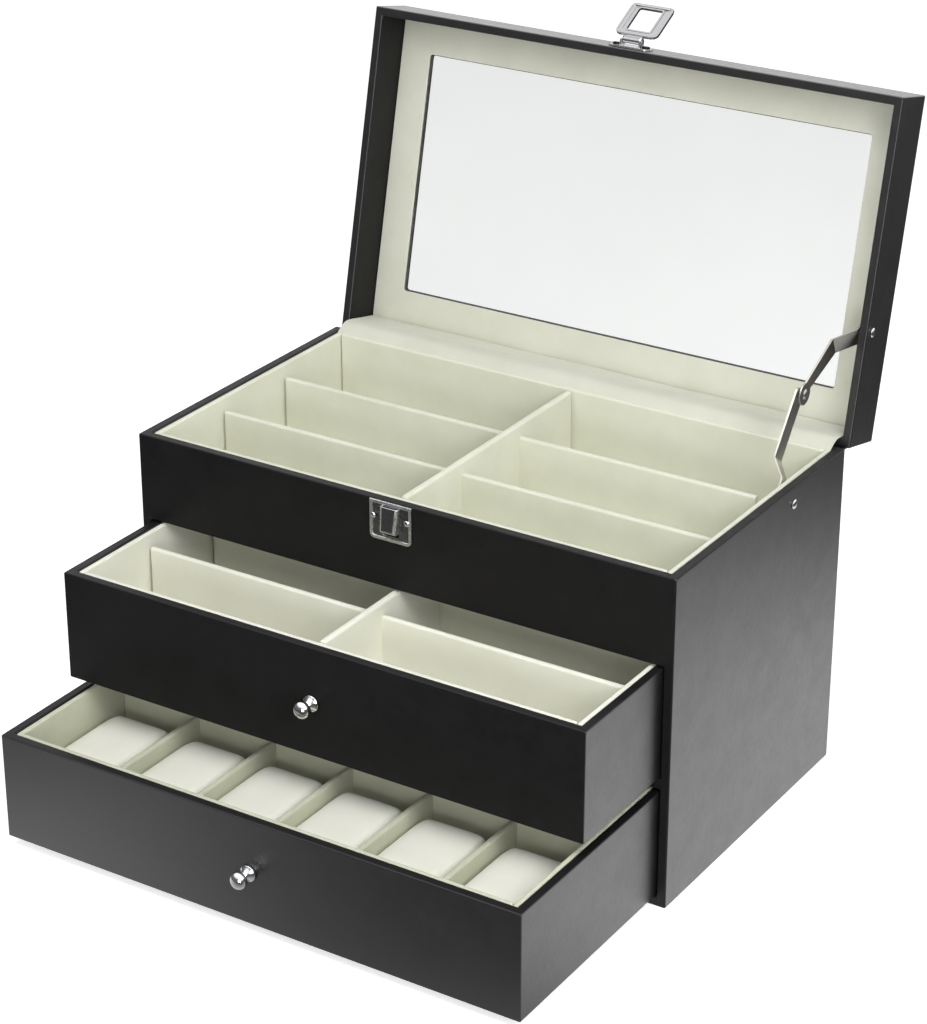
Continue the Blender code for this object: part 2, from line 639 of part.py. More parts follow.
def make_lid(lid):
    frame = box("lid_frame", (-HALF_WIDTH, LID_FRONT, LID_RIM),
                (HALF_WIDTH, LID_BACK, LID_FRAME_TOP), LEATHER, WRAPPED_EDGE)
    inside_x = HALF_WIDTH - LID_WALL
    inside_y = LID_BACK - LID_WALL
    cut(frame, box("lid_hollow", (-inside_x, -inside_y, LID_RIM - OVERRUN),
                   (inside_x, inside_y, LID_FRAME_TOP + OVERRUN)))
    cut(frame, rivet_hole("lid_rivet_hole", HALF_WIDTH, STAY_LID_PIVOT))

    board_bottom = LID_TOP - LID_TOP_BOARD
    board = box("lid_top_board", (-HALF_WIDTH, LID_FRONT, board_bottom),
                (HALF_WIDTH, LID_BACK, LID_TOP), LEATHER, WRAPPED_EDGE)
    cut(board, cutout("window_opening", [window_outline(0.0)], LID_TOP_BOARD + 2 * OVERRUN,
                      (0.0, 0.0, LID_TOP)))
    glass_seat = GLASS_THICKNESS + SEAT_GAP
    cut(board, cutout("glass_rebate", [window_outline(GLASS_LAP + SEAT_GAP)],
                      2 * glass_seat, (0.0, 0.0, board_bottom)))
    glass = cutout("lid_glass", [window_outline(GLASS_LAP)], GLASS_THICKNESS,
                   (0.0, 0.0, board_bottom + GLASS_THICKNESS / 2), material=GLASS)

    panel_x = inside_x - SEAT_GAP
    panel_y = inside_y - SEAT_GAP
    panel_top = board_bottom - SEAT_GAP
    panel = box("lid_lining_panel", (-panel_x, -panel_y, panel_top - LID_PANEL),
                (panel_x, panel_y, panel_top), LINING)
    cut(panel, cutout("panel_opening", [window_outline(0.0)], LID_PANEL + 2 * OVERRUN,
                      (0.0, 0.0, panel_top)))

    flap_x = HALF_WIDTH - FLAP_FROM_SIDE
    flap_low = LID_RIM + FLAP_FROM_EDGE
    lid_flap = box("leather_hinge_lid_flap", (-flap_x, LID_BACK + SEAT_GAP, flap_low),
                   (flap_x, LID_BACK + SEAT_GAP + FLAP_THICKNESS, flap_low + FLAP_LENGTH),
                   LEATHER)
    strip_back = inside_y - SEAT_GAP
    strip = box("hinge_lining_strip",
                (-inside_x + SEAT_GAP, strip_back - STRIP_THICKNESS, LID_RIM),
                (inside_x - SEAT_GAP, strip_back, panel_top - LID_PANEL - SEAT_GAP), LINING)
    for piece in (frame, board, glass, panel, lid_flap, strip):
        hang(piece, lid)


def make_body_flap():
    flap_x = HALF_WIDTH - FLAP_FROM_SIDE
    flap_top = CABINET_HEIGHT - FLAP_FROM_EDGE
    box("leather_hinge_body_flap", (-flap_x, HALF_DEPTH + SEAT_GAP, flap_top - FLAP_LENGTH),
        (flap_x, HALF_DEPTH + SEAT_GAP + FLAP_THICKNESS, flap_top), LEATHER)


def rivet_hole(name, across, pivot):
    """A hole through a side wall for a stay rivet, at a pivot's place in Y and Z."""
    wall_and_lining = WALL_BOARD + SEAT_GAP + LINING_WALL
    return rod(name, (across, *pivot), RIVET_RADIUS + PIVOT_CLEARANCE,
               2 * (wall_and_lining + OVERRUN))


def rivet(name, pivot, outer_face, inner_face):
    """A rivet through a side wall, with a domed head at each end."""
    head_low = SEAT_GAP
    length = outer_face - inner_face
    profile = [(0.0, head_low + RIVET_HEAD_HEIGHT)]
    dome = corner_arc(0.0, 0.0, 1.0, pi / 2, -pi / 2)[1:]
    for across, along in dome:
        profile.append((RIVET_HEAD_RADIUS * across, head_low + RIVET_HEAD_HEIGHT * along))
    profile.append((RIVET_RADIUS, head_low))
    foot = -length - SEAT_GAP
    profile.append((RIVET_RADIUS, foot))
    profile.append((RIVET_HEAD_RADIUS, foot))
    profile.append((RIVET_HEAD_RADIUS * cos(pi / 4), foot - RIVET_HEAD_HEIGHT / 2))
    profile.append((0.0, foot - RIVET_HEAD_HEIGHT / 2))
    return turned(name, profile, (outer_face, *pivot), FACING_RIGHT, STEEL)


def stay_link(name, length, wall_side, mid_side, bend_start, bend_run, holes):
    """A strip with round ends that is bent from the wall's face to the stay's middle.
    It is drawn about its pivot, pointing along +Y, with its thickness along X."""
    half = STAY_THICKNESS / 2
    end = STAY_WIDTH / 2
    slope = atan2(mid_side - wall_side, bend_run)
    mitre = half * (1 - cos(slope)) / sin(slope)
    reach = length + end + OVERRUN
    bend_end = bend_start + bend_run
    outline = [
        (wall_side + half, -end - OVERRUN),
        (wall_side + half, bend_start + mitre),
        (mid_side + half, bend_end + mitre),
        (mid_side + half, reach),
        (mid_side - half, reach),
        (mid_side - half, bend_end - mitre),
        (wall_side - half, bend_start - mitre),
        (wall_side - half, -end - OVERRUN),
    ]
    link = cutout(name, [outline], STAY_WIDTH + 2 * OVERRUN, (0.0, 0.0, 0.0), material=STEEL)
    depth = abs(wall_side - mid_side) + STAY_THICKNESS + 2 * OVERRUN
    centre = ((wall_side + mid_side) / 2, 0.0, 0.0)
    shaper = cutout(name + "_outline", [stadium(length, end)], depth, centre, FACING_RIGHT)
    change(link, shaper, "INTERSECT")
    for index, (place, side) in enumerate(holes):
        cut(link, rod(f"{name}_hole_{index + 1}", (side, place, 0.0),
                      RIVET_RADIUS + PIVOT_CLEARANCE, STAY_THICKNESS + 2 * OVERRUN))
    return link


def link_lengths(first, second):
    """Lengths of the lower and the upper link, from the bend that the open stay keeps."""
    span = hypot(second[0] - first[0], second[1] - first[1])
    spread = 2 * (span ** 2 - LOWER_LINK_EXTRA ** 2) / (1 - cos(STAY_OPEN_BEND))
    upper = (sqrt(LOWER_LINK_EXTRA ** 2 + spread) - LOWER_LINK_EXTRA) / 2
    return upper + LOWER_LINK_EXTRA, upper


def reach_angle(first, second, near, far):
    """Direction from the first pivot to the stay's middle, over the line to the second."""
    span = hypot(second[0] - first[0], second[1] - first[1])
    inner = acos((near ** 2 + span ** 2 - far ** 2) / (2 * near * span))
    return atan2(second[1] - first[1], second[0] - first[0]) + inner


def about_hinge(place, angle):
    """A place in Y and Z, turned about the lid's hinge."""
    y = place[0] - HINGE_Y
    z = place[1] - HINGE_Z
    return (HINGE_Y + y * cos(angle) - z * sin(angle), HINGE_Z + y * sin(angle) + z * cos(angle))


STAY_BODY_PIVOT = (HALF_DEPTH - STAY_BODY_PIVOT_FROM_BACK,
                   CABINET_HEIGHT - STAY_BODY_PIVOT_BELOW_RIM)
STAY_LID_PIVOT = (LID_BACK - STAY_LID_PIVOT_FROM_BACK, LID_RIM + STAY_LID_PIVOT_DEPTH)
OPEN_LID_PIVOT = about_hinge(STAY_LID_PIVOT, -LID_OPEN_ANGLE)
LOWER_LINK_LENGTH, UPPER_LINK_LENGTH = link_lengths(STAY_BODY_PIVOT, OPEN_LID_PIVOT)
LOWER_REST_ANGLE = reach_angle(STAY_BODY_PIVOT, OPEN_LID_PIVOT, LOWER_LINK_LENGTH,
                               UPPER_LINK_LENGTH)
LOWER_SHUT_ANGLE = reach_angle(STAY_BODY_PIVOT, STAY_LID_PIVOT, LOWER_LINK_LENGTH,
                               UPPER_LINK_LENGTH)


def upper_angle(lid_pivot, lower_angle):
    """Direction of the upper link, from its pivot on the lid to the stay's middle."""
    middle_y = STAY_BODY_PIVOT[0] + LOWER_LINK_LENGTH * cos(lower_angle)
    middle_z = STAY_BODY_PIVOT[1] + LOWER_LINK_LENGTH * sin(lower_angle)
    return atan2(middle_z - lid_pivot[1], middle_y - lid_pivot[0])


def make_stay(lid):
    lining_face = INNER_HALF_WIDTH - LINING_WALL
    lower_wall_side = lining_face - PIVOT_CLEARANCE - STAY_THICKNESS / 2
    upper_wall_side = HALF_WIDTH - LID_WALL - PIVOT_CLEARANCE - STAY_THICKNESS / 2
    upper_mid_side = HALF_WIDTH - STAY_MID_FROM_SIDE
    lower_mid_side = upper_mid_side - STAY_THICKNESS - SEAT_GAP

    rivet("stay_body_rivet", STAY_BODY_PIVOT, HALF_WIDTH, lower_wall_side - STAY_THICKNESS / 2)
    lid_rivet = rivet("stay_lid_rivet", STAY_LID_PIVOT, HALF_WIDTH,
                      upper_wall_side - STAY_THICKNESS / 2)
    hang(lid_rivet, lid)

    lower = axis_empty("stay_lower_pivot", (0.0, 0.0, 0.0))
    hang(stay_link("stay_lower_link", LOWER_LINK_LENGTH, lower_wall_side, lower_mid_side,
                   LOWER_BEND_START, LOWER_BEND_RUN, [(0.0, lower_wall_side)]), lower)
    lower.location = (0.0, *STAY_BODY_PIVOT)
    lower.rotation_euler.x = LOWER_REST_ANGLE

    upper = axis_empty("stay_upper_pivot", (0.0, 0.0, 0.0))
    hang(stay_link("stay_upper_link", UPPER_LINK_LENGTH, upper_wall_side, upper_mid_side,
                   UPPER_BEND_START, UPPER_BEND_RUN,
                   [(0.0, upper_wall_side), (UPPER_LINK_LENGTH, upper_mid_side)]), upper)
    link_face = STAY_THICKNESS / 2 + SEAT_GAP
    disc_top = link_face + STAY_DISC_THICKNESS
    head_radius = RIVET_HEAD_RADIUS
    profile = [
        (0.0, disc_top + RIVET_HEAD_HEIGHT),
        (head_radius * cos(pi / 4), disc_top + RIVET_HEAD_HEIGHT * sin(pi / 4)),
        (head_radius, disc_top),
        (STAY_DISC_RADIUS, disc_top),
        (STAY_DISC_RADIUS, link_face),
        (RIVET_RADIUS, link_face),
        (RIVET_RADIUS, -STAY_THICKNESS / 2),
        (0.0, -STAY_THICKNESS / 2),
    ]
    hang(turned("stay_mid_rivet", profile, (upper_mid_side, UPPER_LINK_LENGTH, 0.0),
                FACING_RIGHT, STEEL), upper)
    upper.location = (0.0, *STAY_LID_PIVOT)
    hang(upper, lid)
    world_angle = upper_angle(OPEN_LID_PIVOT, LOWER_REST_ANGLE)
    upper.rotation_euler.x = world_angle + LID_OPEN_ANGLE


def make_catch():
    """The plate on the fascia, with a tongue pressed out of it that the hasp drops over."""
    top = CABINET_HEIGHT - CATCH_BELOW_RIM
    bottom = top - CATCH_HEIGHT
    back = -HALF_DEPTH - SEAT_GAP
    face = back - CATCH_THICKNESS
    half = CATCH_WIDTH / 2
    centre = (CLASP_SHIFT, back - CATCH_THICKNESS / 2, 0.0)
    outline = rounded_outline((-half, bottom), (half, top), CATCH_CORNER, WRAPPED_EDGE)
    plate = cutout("catch_plate", [outline], CATCH_THICKNESS, centre, FACING_FRONT, CHROME)

    tongue_top = CABINET_HEIGHT - TONGUE_BELOW_RIM
    tongue_bottom = tongue_top - TONGUE_HEIGHT
    half_tongue = TONGUE_WIDTH / 2
    inner = half_tongue - TONGUE_WALL
    out = -TONGUE_STAND
    points = [(-half_tongue, CATCH_THICKNESS / 2)]
    points += corner_arc(TONGUE_BEND - half_tongue, out + TONGUE_BEND, TONGUE_BEND, pi)
    points += corner_arc(half_tongue - TONGUE_BEND, out + TONGUE_BEND, TONGUE_BEND, -pi / 2)
    points += [(half_tongue, CATCH_THICKNESS / 2), (inner, CATCH_THICKNESS / 2),
               (inner, out + TONGUE_WALL), (-inner, out + TONGUE_WALL),
               (-inner, CATCH_THICKNESS / 2)]
    tongue = cutout("tongue", [points], TONGUE_HEIGHT,
                    (CLASP_SHIFT, face, (tongue_top + tongue_bottom) / 2))
    join(plate, tongue)
    bead = rod("catch_bead", (CLASP_SHIFT, face, bottom + CATCH_BEAD_RADIUS),
               CATCH_BEAD_RADIUS, CATCH_WIDTH - 2 * CATCH_CORNER)
    join(plate, bead)
    slot_top = tongue_bottom - CATCH_THICKNESS / 2
    slot_low = (CLASP_SHIFT - inner, face - OVERRUN, slot_top - CATCH_SLOT_HEIGHT)
    slot_high = (CLASP_SHIFT + inner, back + OVERRUN, slot_top)
    cut(plate, box("catch_slot", slot_low, slot_high))

    for side, name in ((-1, "catch_pin_left"), (1, "catch_pin_right")):
        across = CLASP_SHIFT + side * CATCH_PIN_SPACING / 2
        height = CABINET_HEIGHT - CATCH_PIN_BELOW_RIM
        place = (across, face, height)
        hole_radius = CATCH_PIN_SHANK_RADIUS + PIVOT_CLEARANCE
        hole_length = 2 * (CATCH_PIN_SHANK + OVERRUN)
        hole = rod(name + "_hole", place, hole_radius, hole_length)
        hole.rotation_euler = FACING_FRONT.to_euler()
        cut(plate, hole)
        cut(bpy.data.objects["cabinet_fascia"], hole)
        head = CATCH_PIN_RADIUS
        profile = [(0.0, SEAT_GAP + head / 2)]
        for along, across_share in corner_arc(0.0, 0.0, 1.0, pi / 2, -pi / 2)[1:]:
            profile.append((head * along, SEAT_GAP + head / 2 * across_share))
        profile += [(CATCH_PIN_SHANK_RADIUS, SEAT_GAP),
                    (CATCH_PIN_SHANK_RADIUS, -CATCH_PIN_SHANK), (0.0, -CATCH_PIN_SHANK)]
        turned(name, profile, place, FACING_FRONT, CHROME)


def make_hasp(lid):
    """The hasp: a base on the lid's front wall, its pin, and the loop that swings on it."""
    pin_y = LID_FRONT - HASP_PIN_STAND
    pin_z = LID_RIM + HASP_PIN_DEPTH
    base_face = LID_FRONT - SEAT_GAP
    base_centre = base_face - HASP_BASE_THICKNESS / 2
    half_base = HASP_BASE_WIDTH / 2
    half_length = HASP_BASE_LENGTH / 2
    outline = rounded_outline((-half_base, -half_length), (half_base, half_length),
                              HASP_BASE_CORNER, HASP_BASE_CORNER)
    base = cutout("hasp_base", [outline], HASP_BASE_THICKNESS,
                  (CLASP_SHIFT, base_centre, pin_z), FACING_FRONT, CHROME)
    ear_foot = base_centre - pin_y
    ear_outline = [(ear_foot, HASP_EAR_RADIUS)]
    ear_steps = 2 * CORNER_STEPS
    for step in range(ear_steps + 1):
        angle = pi / 2 + pi * step / ear_steps
        ear_outline.append((HASP_EAR_RADIUS * cos(angle), HASP_EAR_RADIUS * sin(angle)))
    ear_outline.append((ear_foot, -HASP_EAR_RADIUS))
    for side, name in ((-1, "left_ear"), (1, "right_ear")):
        across = CLASP_SHIFT + side * HASP_EAR_SPACING / 2
        join(base, cutout(name, [ear_outline], HASP_EAR_THICKNESS, (across, pin_y, pin_z),
                          FACING_RIGHT))
    pin_length = HASP_EAR_SPACING + HASP_EAR_THICKNESS + 2 * SEAT_GAP
    hole_radius = HASP_PIN_RADIUS + PIVOT_CLEARANCE
    centre = (CLASP_SHIFT, pin_y, pin_z)
    cut(base, rod("ear_hole", centre, hole_radius, pin_length + OVERRUN))
    pin = rod("hasp_pin", centre, HASP_PIN_RADIUS, pin_length, CHROME)
    round_shading(pin)
    for piece in (base, pin):
        hang(piece, lid)

    swing = axis_empty("hasp_hinge", centre, lid)
    half_loop = HASP_LOOP_WIDTH / 2
    outer = rounded_outline((-half_loop, -HASP_LOOP_REACH), (half_loop, -HASP_LOOP_START),
                            HASP_LOOP_END_CORNER, HASP_LOOP_CORNER)
    rail = HASP_LOOP_RAIL
    inner = rounded_outline((rail - half_loop, rail - HASP_LOOP_REACH),
                            (half_loop - rail, -HASP_LOOP_START - rail),
                            HASP_LOOP_END_CORNER / 2, HASP_LOOP_END_CORNER)
    loop = cutout("hasp_loop", [outer, inner], HASP_LOOP_THICKNESS, centre, FACING_FRONT,
                  CHROME)
    barrel_length = HASP_EAR_SPACING - HASP_EAR_THICKNESS - 2 * SEAT_GAP
    barrel_radius = hole_radius + HASP_LOOP_THICKNESS / 2
    neck = box("hasp_neck",
               (CLASP_SHIFT - barrel_length / 2, pin_y - HASP_LOOP_THICKNESS / 3,
                pin_z - HASP_LOOP_START - rail / 2),
               (CLASP_SHIFT + barrel_length / 2, pin_y + HASP_LOOP_THICKNESS / 3, pin_z))
    barrel = rod("hasp_barrel", centre, barrel_radius, barrel_length)
    lip_z = pin_z - HASP_LOOP_REACH + HASP_LIP_RADIUS
    lip = rod("hasp_lip", (CLASP_SHIFT, pin_y - HASP_LOOP_THICKNESS / 2, lip_z),
              HASP_LIP_RADIUS, HASP_LOOP_WIDTH - 2 * HASP_LOOP_END_CORNER)
    bore = rod("hasp_bore", centre, hole_radius, barrel_length + OVERRUN)
    join(loop, neck)
    join(loop, barrel)
    join(loop, lip)
    cut(loop, bore)
    hang(loop, swing)
    swing.rotation_euler.x = -(pi - HASP_REST_ANGLE)


make_cabinet()
make_tray()
make_middle_drawer()
make_bottom_drawer()
make_body_flap()
lid_axis = axis_empty("lid_hinge", (0.0, HINGE_Y, HINGE_Z))
make_lid(lid_axis)
make_stay(lid_axis)
make_catch()
make_hasp(lid_axis)
lid_axis.rotation_euler.x = -LID_OPEN_ANGLE
bpy.context.view_layer.update()
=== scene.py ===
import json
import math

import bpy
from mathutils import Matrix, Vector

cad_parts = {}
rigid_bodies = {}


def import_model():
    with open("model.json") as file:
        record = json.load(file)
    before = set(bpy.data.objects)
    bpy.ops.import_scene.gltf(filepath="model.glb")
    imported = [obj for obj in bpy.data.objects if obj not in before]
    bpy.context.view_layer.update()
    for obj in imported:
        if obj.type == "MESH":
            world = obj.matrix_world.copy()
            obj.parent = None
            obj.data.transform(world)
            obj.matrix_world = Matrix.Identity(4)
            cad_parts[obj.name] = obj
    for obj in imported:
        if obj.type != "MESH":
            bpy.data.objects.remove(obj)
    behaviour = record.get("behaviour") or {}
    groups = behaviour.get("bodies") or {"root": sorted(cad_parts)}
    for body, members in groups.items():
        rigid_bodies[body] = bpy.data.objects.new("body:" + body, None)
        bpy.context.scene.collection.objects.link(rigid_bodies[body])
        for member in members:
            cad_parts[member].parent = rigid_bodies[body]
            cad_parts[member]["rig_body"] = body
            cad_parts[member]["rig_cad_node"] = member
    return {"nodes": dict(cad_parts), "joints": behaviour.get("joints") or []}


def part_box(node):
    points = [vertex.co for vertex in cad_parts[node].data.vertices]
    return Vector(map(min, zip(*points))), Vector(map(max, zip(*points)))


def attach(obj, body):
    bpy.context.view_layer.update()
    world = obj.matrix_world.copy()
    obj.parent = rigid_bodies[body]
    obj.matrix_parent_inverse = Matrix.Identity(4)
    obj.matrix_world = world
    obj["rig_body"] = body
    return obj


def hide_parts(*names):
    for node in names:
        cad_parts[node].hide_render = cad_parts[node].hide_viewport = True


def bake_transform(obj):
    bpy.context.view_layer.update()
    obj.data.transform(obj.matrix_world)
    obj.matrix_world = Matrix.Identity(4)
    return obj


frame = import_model()

# %% [markdown]
# A watch and glasses box is a black leather cabinet with two drawers, an open
# tray under a lid with a window, and pale velvet in every compartment. The
# bodies, boards and hardware were settled in the frame that has just been
# loaded, so every size below is measured from it, and nothing is placed by eye
# that the frame can answer.
# Points closer than HAIR count as one place. A face whose normal has FACING of
# its length along an axis looks that way, and with LEANING it mostly does.

MM = 0.001
HAIR = 0.01 * MM
FACING = 0.9
LEANING = 0.7
X, Y, Z = 0, 1, 2
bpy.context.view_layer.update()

# %% [markdown]
# A product photograph like this one is taken with a long lens. The camera gets
# a place and two angles instead of an object to aim at, so that its tilt has no
# roll. The sensor's 36 mm lie along the longer side of the picture, which is
# the upright one here.

# %% The camera
CAMERA_PLACE = Vector((0.7696, -1.2352, 0.8310))
CAMERA_AZIMUTH = math.radians(32.49)
CAMERA_DROP = math.radians(25.14)
PICTURE_HEIGHT = 1024
FOCAL_PIXELS = 2920.5

bpy.ops.object.camera_add(location=CAMERA_PLACE)
camera = bpy.context.object
camera.name = "camera"
camera.rotation_euler = (math.pi / 2 - CAMERA_DROP, 0, CAMERA_AZIMUTH)
camera.data.sensor_width = 36
camera.data.lens = FOCAL_PIXELS / PICTURE_HEIGHT * camera.data.sensor_width
camera.data.clip_start = 0.05
camera.data.clip_end = 60
bpy.context.scene.camera = camera
print("lens in mm:", round(camera.data.lens, 2))

# %% [markdown]
# Most pieces here are boards and shallow boxes, so a few small helpers do what
# a modeller does by hand: add a block at its size, cut its surface all round,
# pick faces by where they are, and push them in. Each helper leaves object
# mode behind it and works on one object only.

# %% Helpers that add and shape one object
def only(obj):
    """Makes obj the one selected and active object."""
    bpy.ops.object.select_all(action="DESELECT")
    obj.select_set(True)
    bpy.context.view_layer.objects.active = obj


def edit(obj):
    """Opens obj alone in edit mode."""
    only(obj)
    bpy.ops.object.mode_set(mode="EDIT")


def leave():
    """Goes back to object mode."""
    bpy.ops.object.mode_set(mode="OBJECT")


def named(obj, name):
    """Gives an object and its mesh one name, with its place inside the mesh."""
    obj.name = name
    obj.data.name = name
    only(obj)
    bpy.ops.object.transform_apply(location=True, rotation=True, scale=True)
    return obj


def added(operator, name, **settings):
    """A new primitive, added with nothing else selected."""
    bpy.ops.object.select_all(action="DESELECT")
    operator(**settings)
    return named(bpy.context.object, name)


def block(name, low, high):
    """A closed block between two corners."""
    low, high = Vector(low), Vector(high)
    place = (low + high) / 2
    return added(bpy.ops.mesh.primitive_cube_add, name, size=1, location=place, scale=high - low)


def cut_round(obj, axis, *places):
    """Cuts the whole surface of obj with flat cuts square to one axis."""
    edit(obj)
    for place in places:
        point = Vector()
        normal = Vector()
        point[axis] = place
        normal[axis] = 1
        bpy.ops.mesh.select_all(action="SELECT")
        bpy.ops.mesh.bisect(plane_co=point, plane_no=normal, threshold=1e-6)
    leave()


def pick(obj, kind, parts, test):
    """Opens obj in edit mode with those faces or edges selected that pass a test."""
    edit(obj)
    bpy.ops.mesh.select_mode(type=kind)
    bpy.ops.mesh.select_all(action="DESELECT")
    leave()
    for part in getattr(obj.data, parts):
        part.select = test(part)
    edit(obj)


def pick_faces(obj, test):
    """Selects the faces whose centre and normal pass."""
    pick(obj, "FACE", "polygons", lambda face: test(face.center, face.normal))


def pick_edges(obj, test):
    """Selects the edges whose two ends pass."""
    pick(obj, "EDGE", "edges", lambda edge: test(*(obj.data.vertices[end].co for end in edge.vertices)))


def push(obj, test, move):
    """Pushes the picked faces along a line, with walls behind them."""
    pick_faces(obj, test)
    bpy.ops.mesh.extrude_region_move(TRANSFORM_OT_translate={"value": move})
    leave()


def sink(obj, test, rim, move):
    """Leaves a rim round the picked faces and pushes what is inside it along a line."""
    pick_faces(obj, test)
    bpy.ops.mesh.inset(thickness=rim)
    bpy.ops.mesh.extrude_region_move(TRANSFORM_OT_translate={"value": move})
    leave()


def bevel_edges(obj, test, width, segments):
    """Rounds the picked edges only."""
    pick_edges(obj, test)
    bpy.ops.mesh.bevel(offset=width, segments=segments, affect="EDGES")
    leave()


def modify(obj, kind, **settings):
    """Adds one modifier to obj with its settings, and applies it."""
    only(obj)
    modifier = obj.modifiers.new(kind.lower(), kind)
    for label, value in settings.items():
        setattr(modifier, label, value)
    bpy.ops.object.modifier_apply(modifier=modifier.name)


def round_edges(obj, width, segments=3, angle=50):
    """Rounds every edge that is sharper than the angle, and leaves flat faces flat."""
    only(obj)
    bpy.ops.object.shade_smooth()
    modify(obj, "BEVEL", width=width, segments=segments, limit_method="ANGLE",
           angle_limit=math.radians(angle), harden_normals=True)
    return obj


def corners(places):
    """The lowest and the highest corner of the box round some places."""
    places = list(places)
    low = Vector([min(place[axis] for place in places) for axis in (X, Y, Z)])
    high = Vector([max(place[axis] for place in places) for axis in (X, Y, Z)])
    return low, high


def joined(name, pieces):
    """Several meshes as one object."""
    bpy.ops.object.select_all(action="DESELECT")
    for piece in pieces:
        piece.select_set(True)
    bpy.context.view_layer.objects.active = pieces[0]
    bpy.ops.object.join()
    return named(pieces[0], name)


def put(obj, material, body, slot, *nodes):
    """Paints a finished piece, seats it on its body and hides the nodes that it stands for."""
    if material is not None:
        obj.data.materials.clear()
        obj.data.materials.append(material)
    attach(obj, body)
    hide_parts(*nodes)
    print(obj.name, "has", len(obj.data.polygons), "faces and rides on", body)
    return obj


# %% [markdown]
# The lid's pieces are easier to model while it is shut, square to the cabinet.
# The frame holds them open, so a node of the lid is turned back to measure it,
# and a finished piece is turned open by the same angle about the same axis.

# %% Helpers for what the lid carries
lid_joint = next(joint for joint in frame["joints"] if joint["name"] == "lid_hinge")
HINGE = Vector(lid_joint["pos_m"])
OPEN_ANGLE = math.radians(lid_joint["range_deg"][1])


def about_hinge(angle):
    """The turn by an angle about the lid's hinge."""
    turn = Matrix.Rotation(angle, 4, "X")
    return Matrix.Translation(HINGE) @ turn @ Matrix.Translation(-HINGE)


TO_SHUT = about_hinge(OPEN_ANGLE)
TO_OPEN = about_hinge(-OPEN_ANGLE)


def shut_box(node):
    """The two corners of a lid's node with the lid shut."""
    return corners(TO_SHUT @ vertex.co for vertex in frame["nodes"][node].data.vertices)


def opened(obj):
    """Turns a piece that was modelled on the shut lid to where the open lid is."""
    obj.data.transform(TO_OPEN)
    obj.data.update()
    return obj


print("hinge in mm:", [round(value / MM, 2) for value in HINGE])

# %% [markdown]
# Real surfaces are never one colour. Two effects are shared by several
# finishes, so each is a node group that is built once: a grain of small cells
# with a mottled tone, for leather, and a nap of fine fibres with a cloudy
# tone, for velvet. A group gives out only a tone and a height, and each
# material decides what these do to it.

# %% Helpers for node trees and the two shared groups
def new_group(name, numbers):
    """An empty shader group with a vector input, number inputs and two outputs."""
    group = bpy.data.node_groups.new(name, "ShaderNodeTree")
    group.interface.new_socket("Place", in_out="INPUT", socket_type="NodeSocketVector")
    for label, value in numbers.items():
        socket = group.interface.new_socket(label, in_out="INPUT", socket_type="NodeSocketFloat")
        socket.default_value = value
    group.interface.new_socket("Tone", in_out="OUTPUT", socket_type="NodeSocketFloat")
    group.interface.new_socket("Height", in_out="OUTPUT", socket_type="NodeSocketFloat")
    start = group.nodes.new("NodeGroupInput")
    end = group.nodes.new("NodeGroupOutput")
    return group, start, end


def new_node(tree, kind, values=(), **settings):
    """A shader node with its settings, and its inputs set to numbers or linked to sockets."""
    node = tree.nodes.new("ShaderNode" + kind)
    for label, setting in settings.items():
        setattr(node, label, setting)
    for label, value in dict(values).items():
        if isinstance(value, bpy.types.NodeSocket):
            tree.links.new(value, node.inputs[label])
        else:
            node.inputs[label].default_value = value
    return node


def noise_node(tree, place, scale, detail=2.0, roughness=0.5):
    """A noise texture on a place, with its scale as a number or a socket."""
    values = {"Vector": place, "Scale": scale, "Detail": detail, "Roughness": roughness}
    return new_node(tree, "TexNoise", values).outputs["Fac"]


def math_node(tree, operation, first, second):
    """One sum on two sockets or numbers."""
    return new_node(tree, "Math", {0: first, 1: second}, operation=operation).outputs["Value"]


def ramp_node(tree, value, near, far, at_near, at_far, kind="SMOOTHSTEP"):
    """A run from one number to another while a value goes from near to far."""
    values = {"Value": value, "From Min": near, "From Max": far, "To Min": at_near, "To Max": at_far}
    return new_node(tree, "MapRange", values, interpolation_type=kind).outputs["Result"]


def make_grain():
    """Small cells and larger irregular flecks, with a tone that mottles and drifts."""
    numbers = {"Cell scale": 620.0, "Fleck scale": 260.0, "Drift scale": 55.0}
    group, start, end = new_group("leather grain", numbers)
    given = start.outputs
    values = {"Vector": given["Place"], "Scale": given["Cell scale"]}
    cells = new_node(group, "TexVoronoi", values, feature="SMOOTH_F1")
    flecks = noise_node(group, given["Place"], given["Fleck scale"], 5.0, 0.65)
    drift = noise_node(group, given["Place"], given["Drift scale"], 3.0, 0.6)
    low_cells = math_node(group, "MULTIPLY", cells.outputs["Distance"], 0.35)
    both = math_node(group, "ADD", flecks, drift)
    group.links.new(math_node(group, "MULTIPLY", both, 0.5), end.inputs["Tone"])
    group.links.new(math_node(group, "ADD", low_cells, flecks), end.inputs["Height"])
    return group


def make_nap():
    """Short fibres that stand and lean, with cloudy patches where they were brushed."""
    numbers = {"Fibre scale": 2600.0, "Cloud scale": 34.0}
    group, start, end = new_group("velvet nap", numbers)
    given = start.outputs
    fibres = noise_node(group, given["Place"], given["Fibre scale"], 2.0, 0.7)
    clouds = noise_node(group, given["Place"], given["Cloud scale"], 3.0, 0.55)
    weak = math_node(group, "MULTIPLY", fibres, 0.45)
    tone = math_node(group, "ADD", clouds, weak)
    group.links.new(tone, end.inputs["Tone"])
    group.links.new(fibres, end.inputs["Height"])
    return group


GRAIN = make_grain()
NAP = make_nap()
print("shared groups:", GRAIN.name, "and", NAP.name)
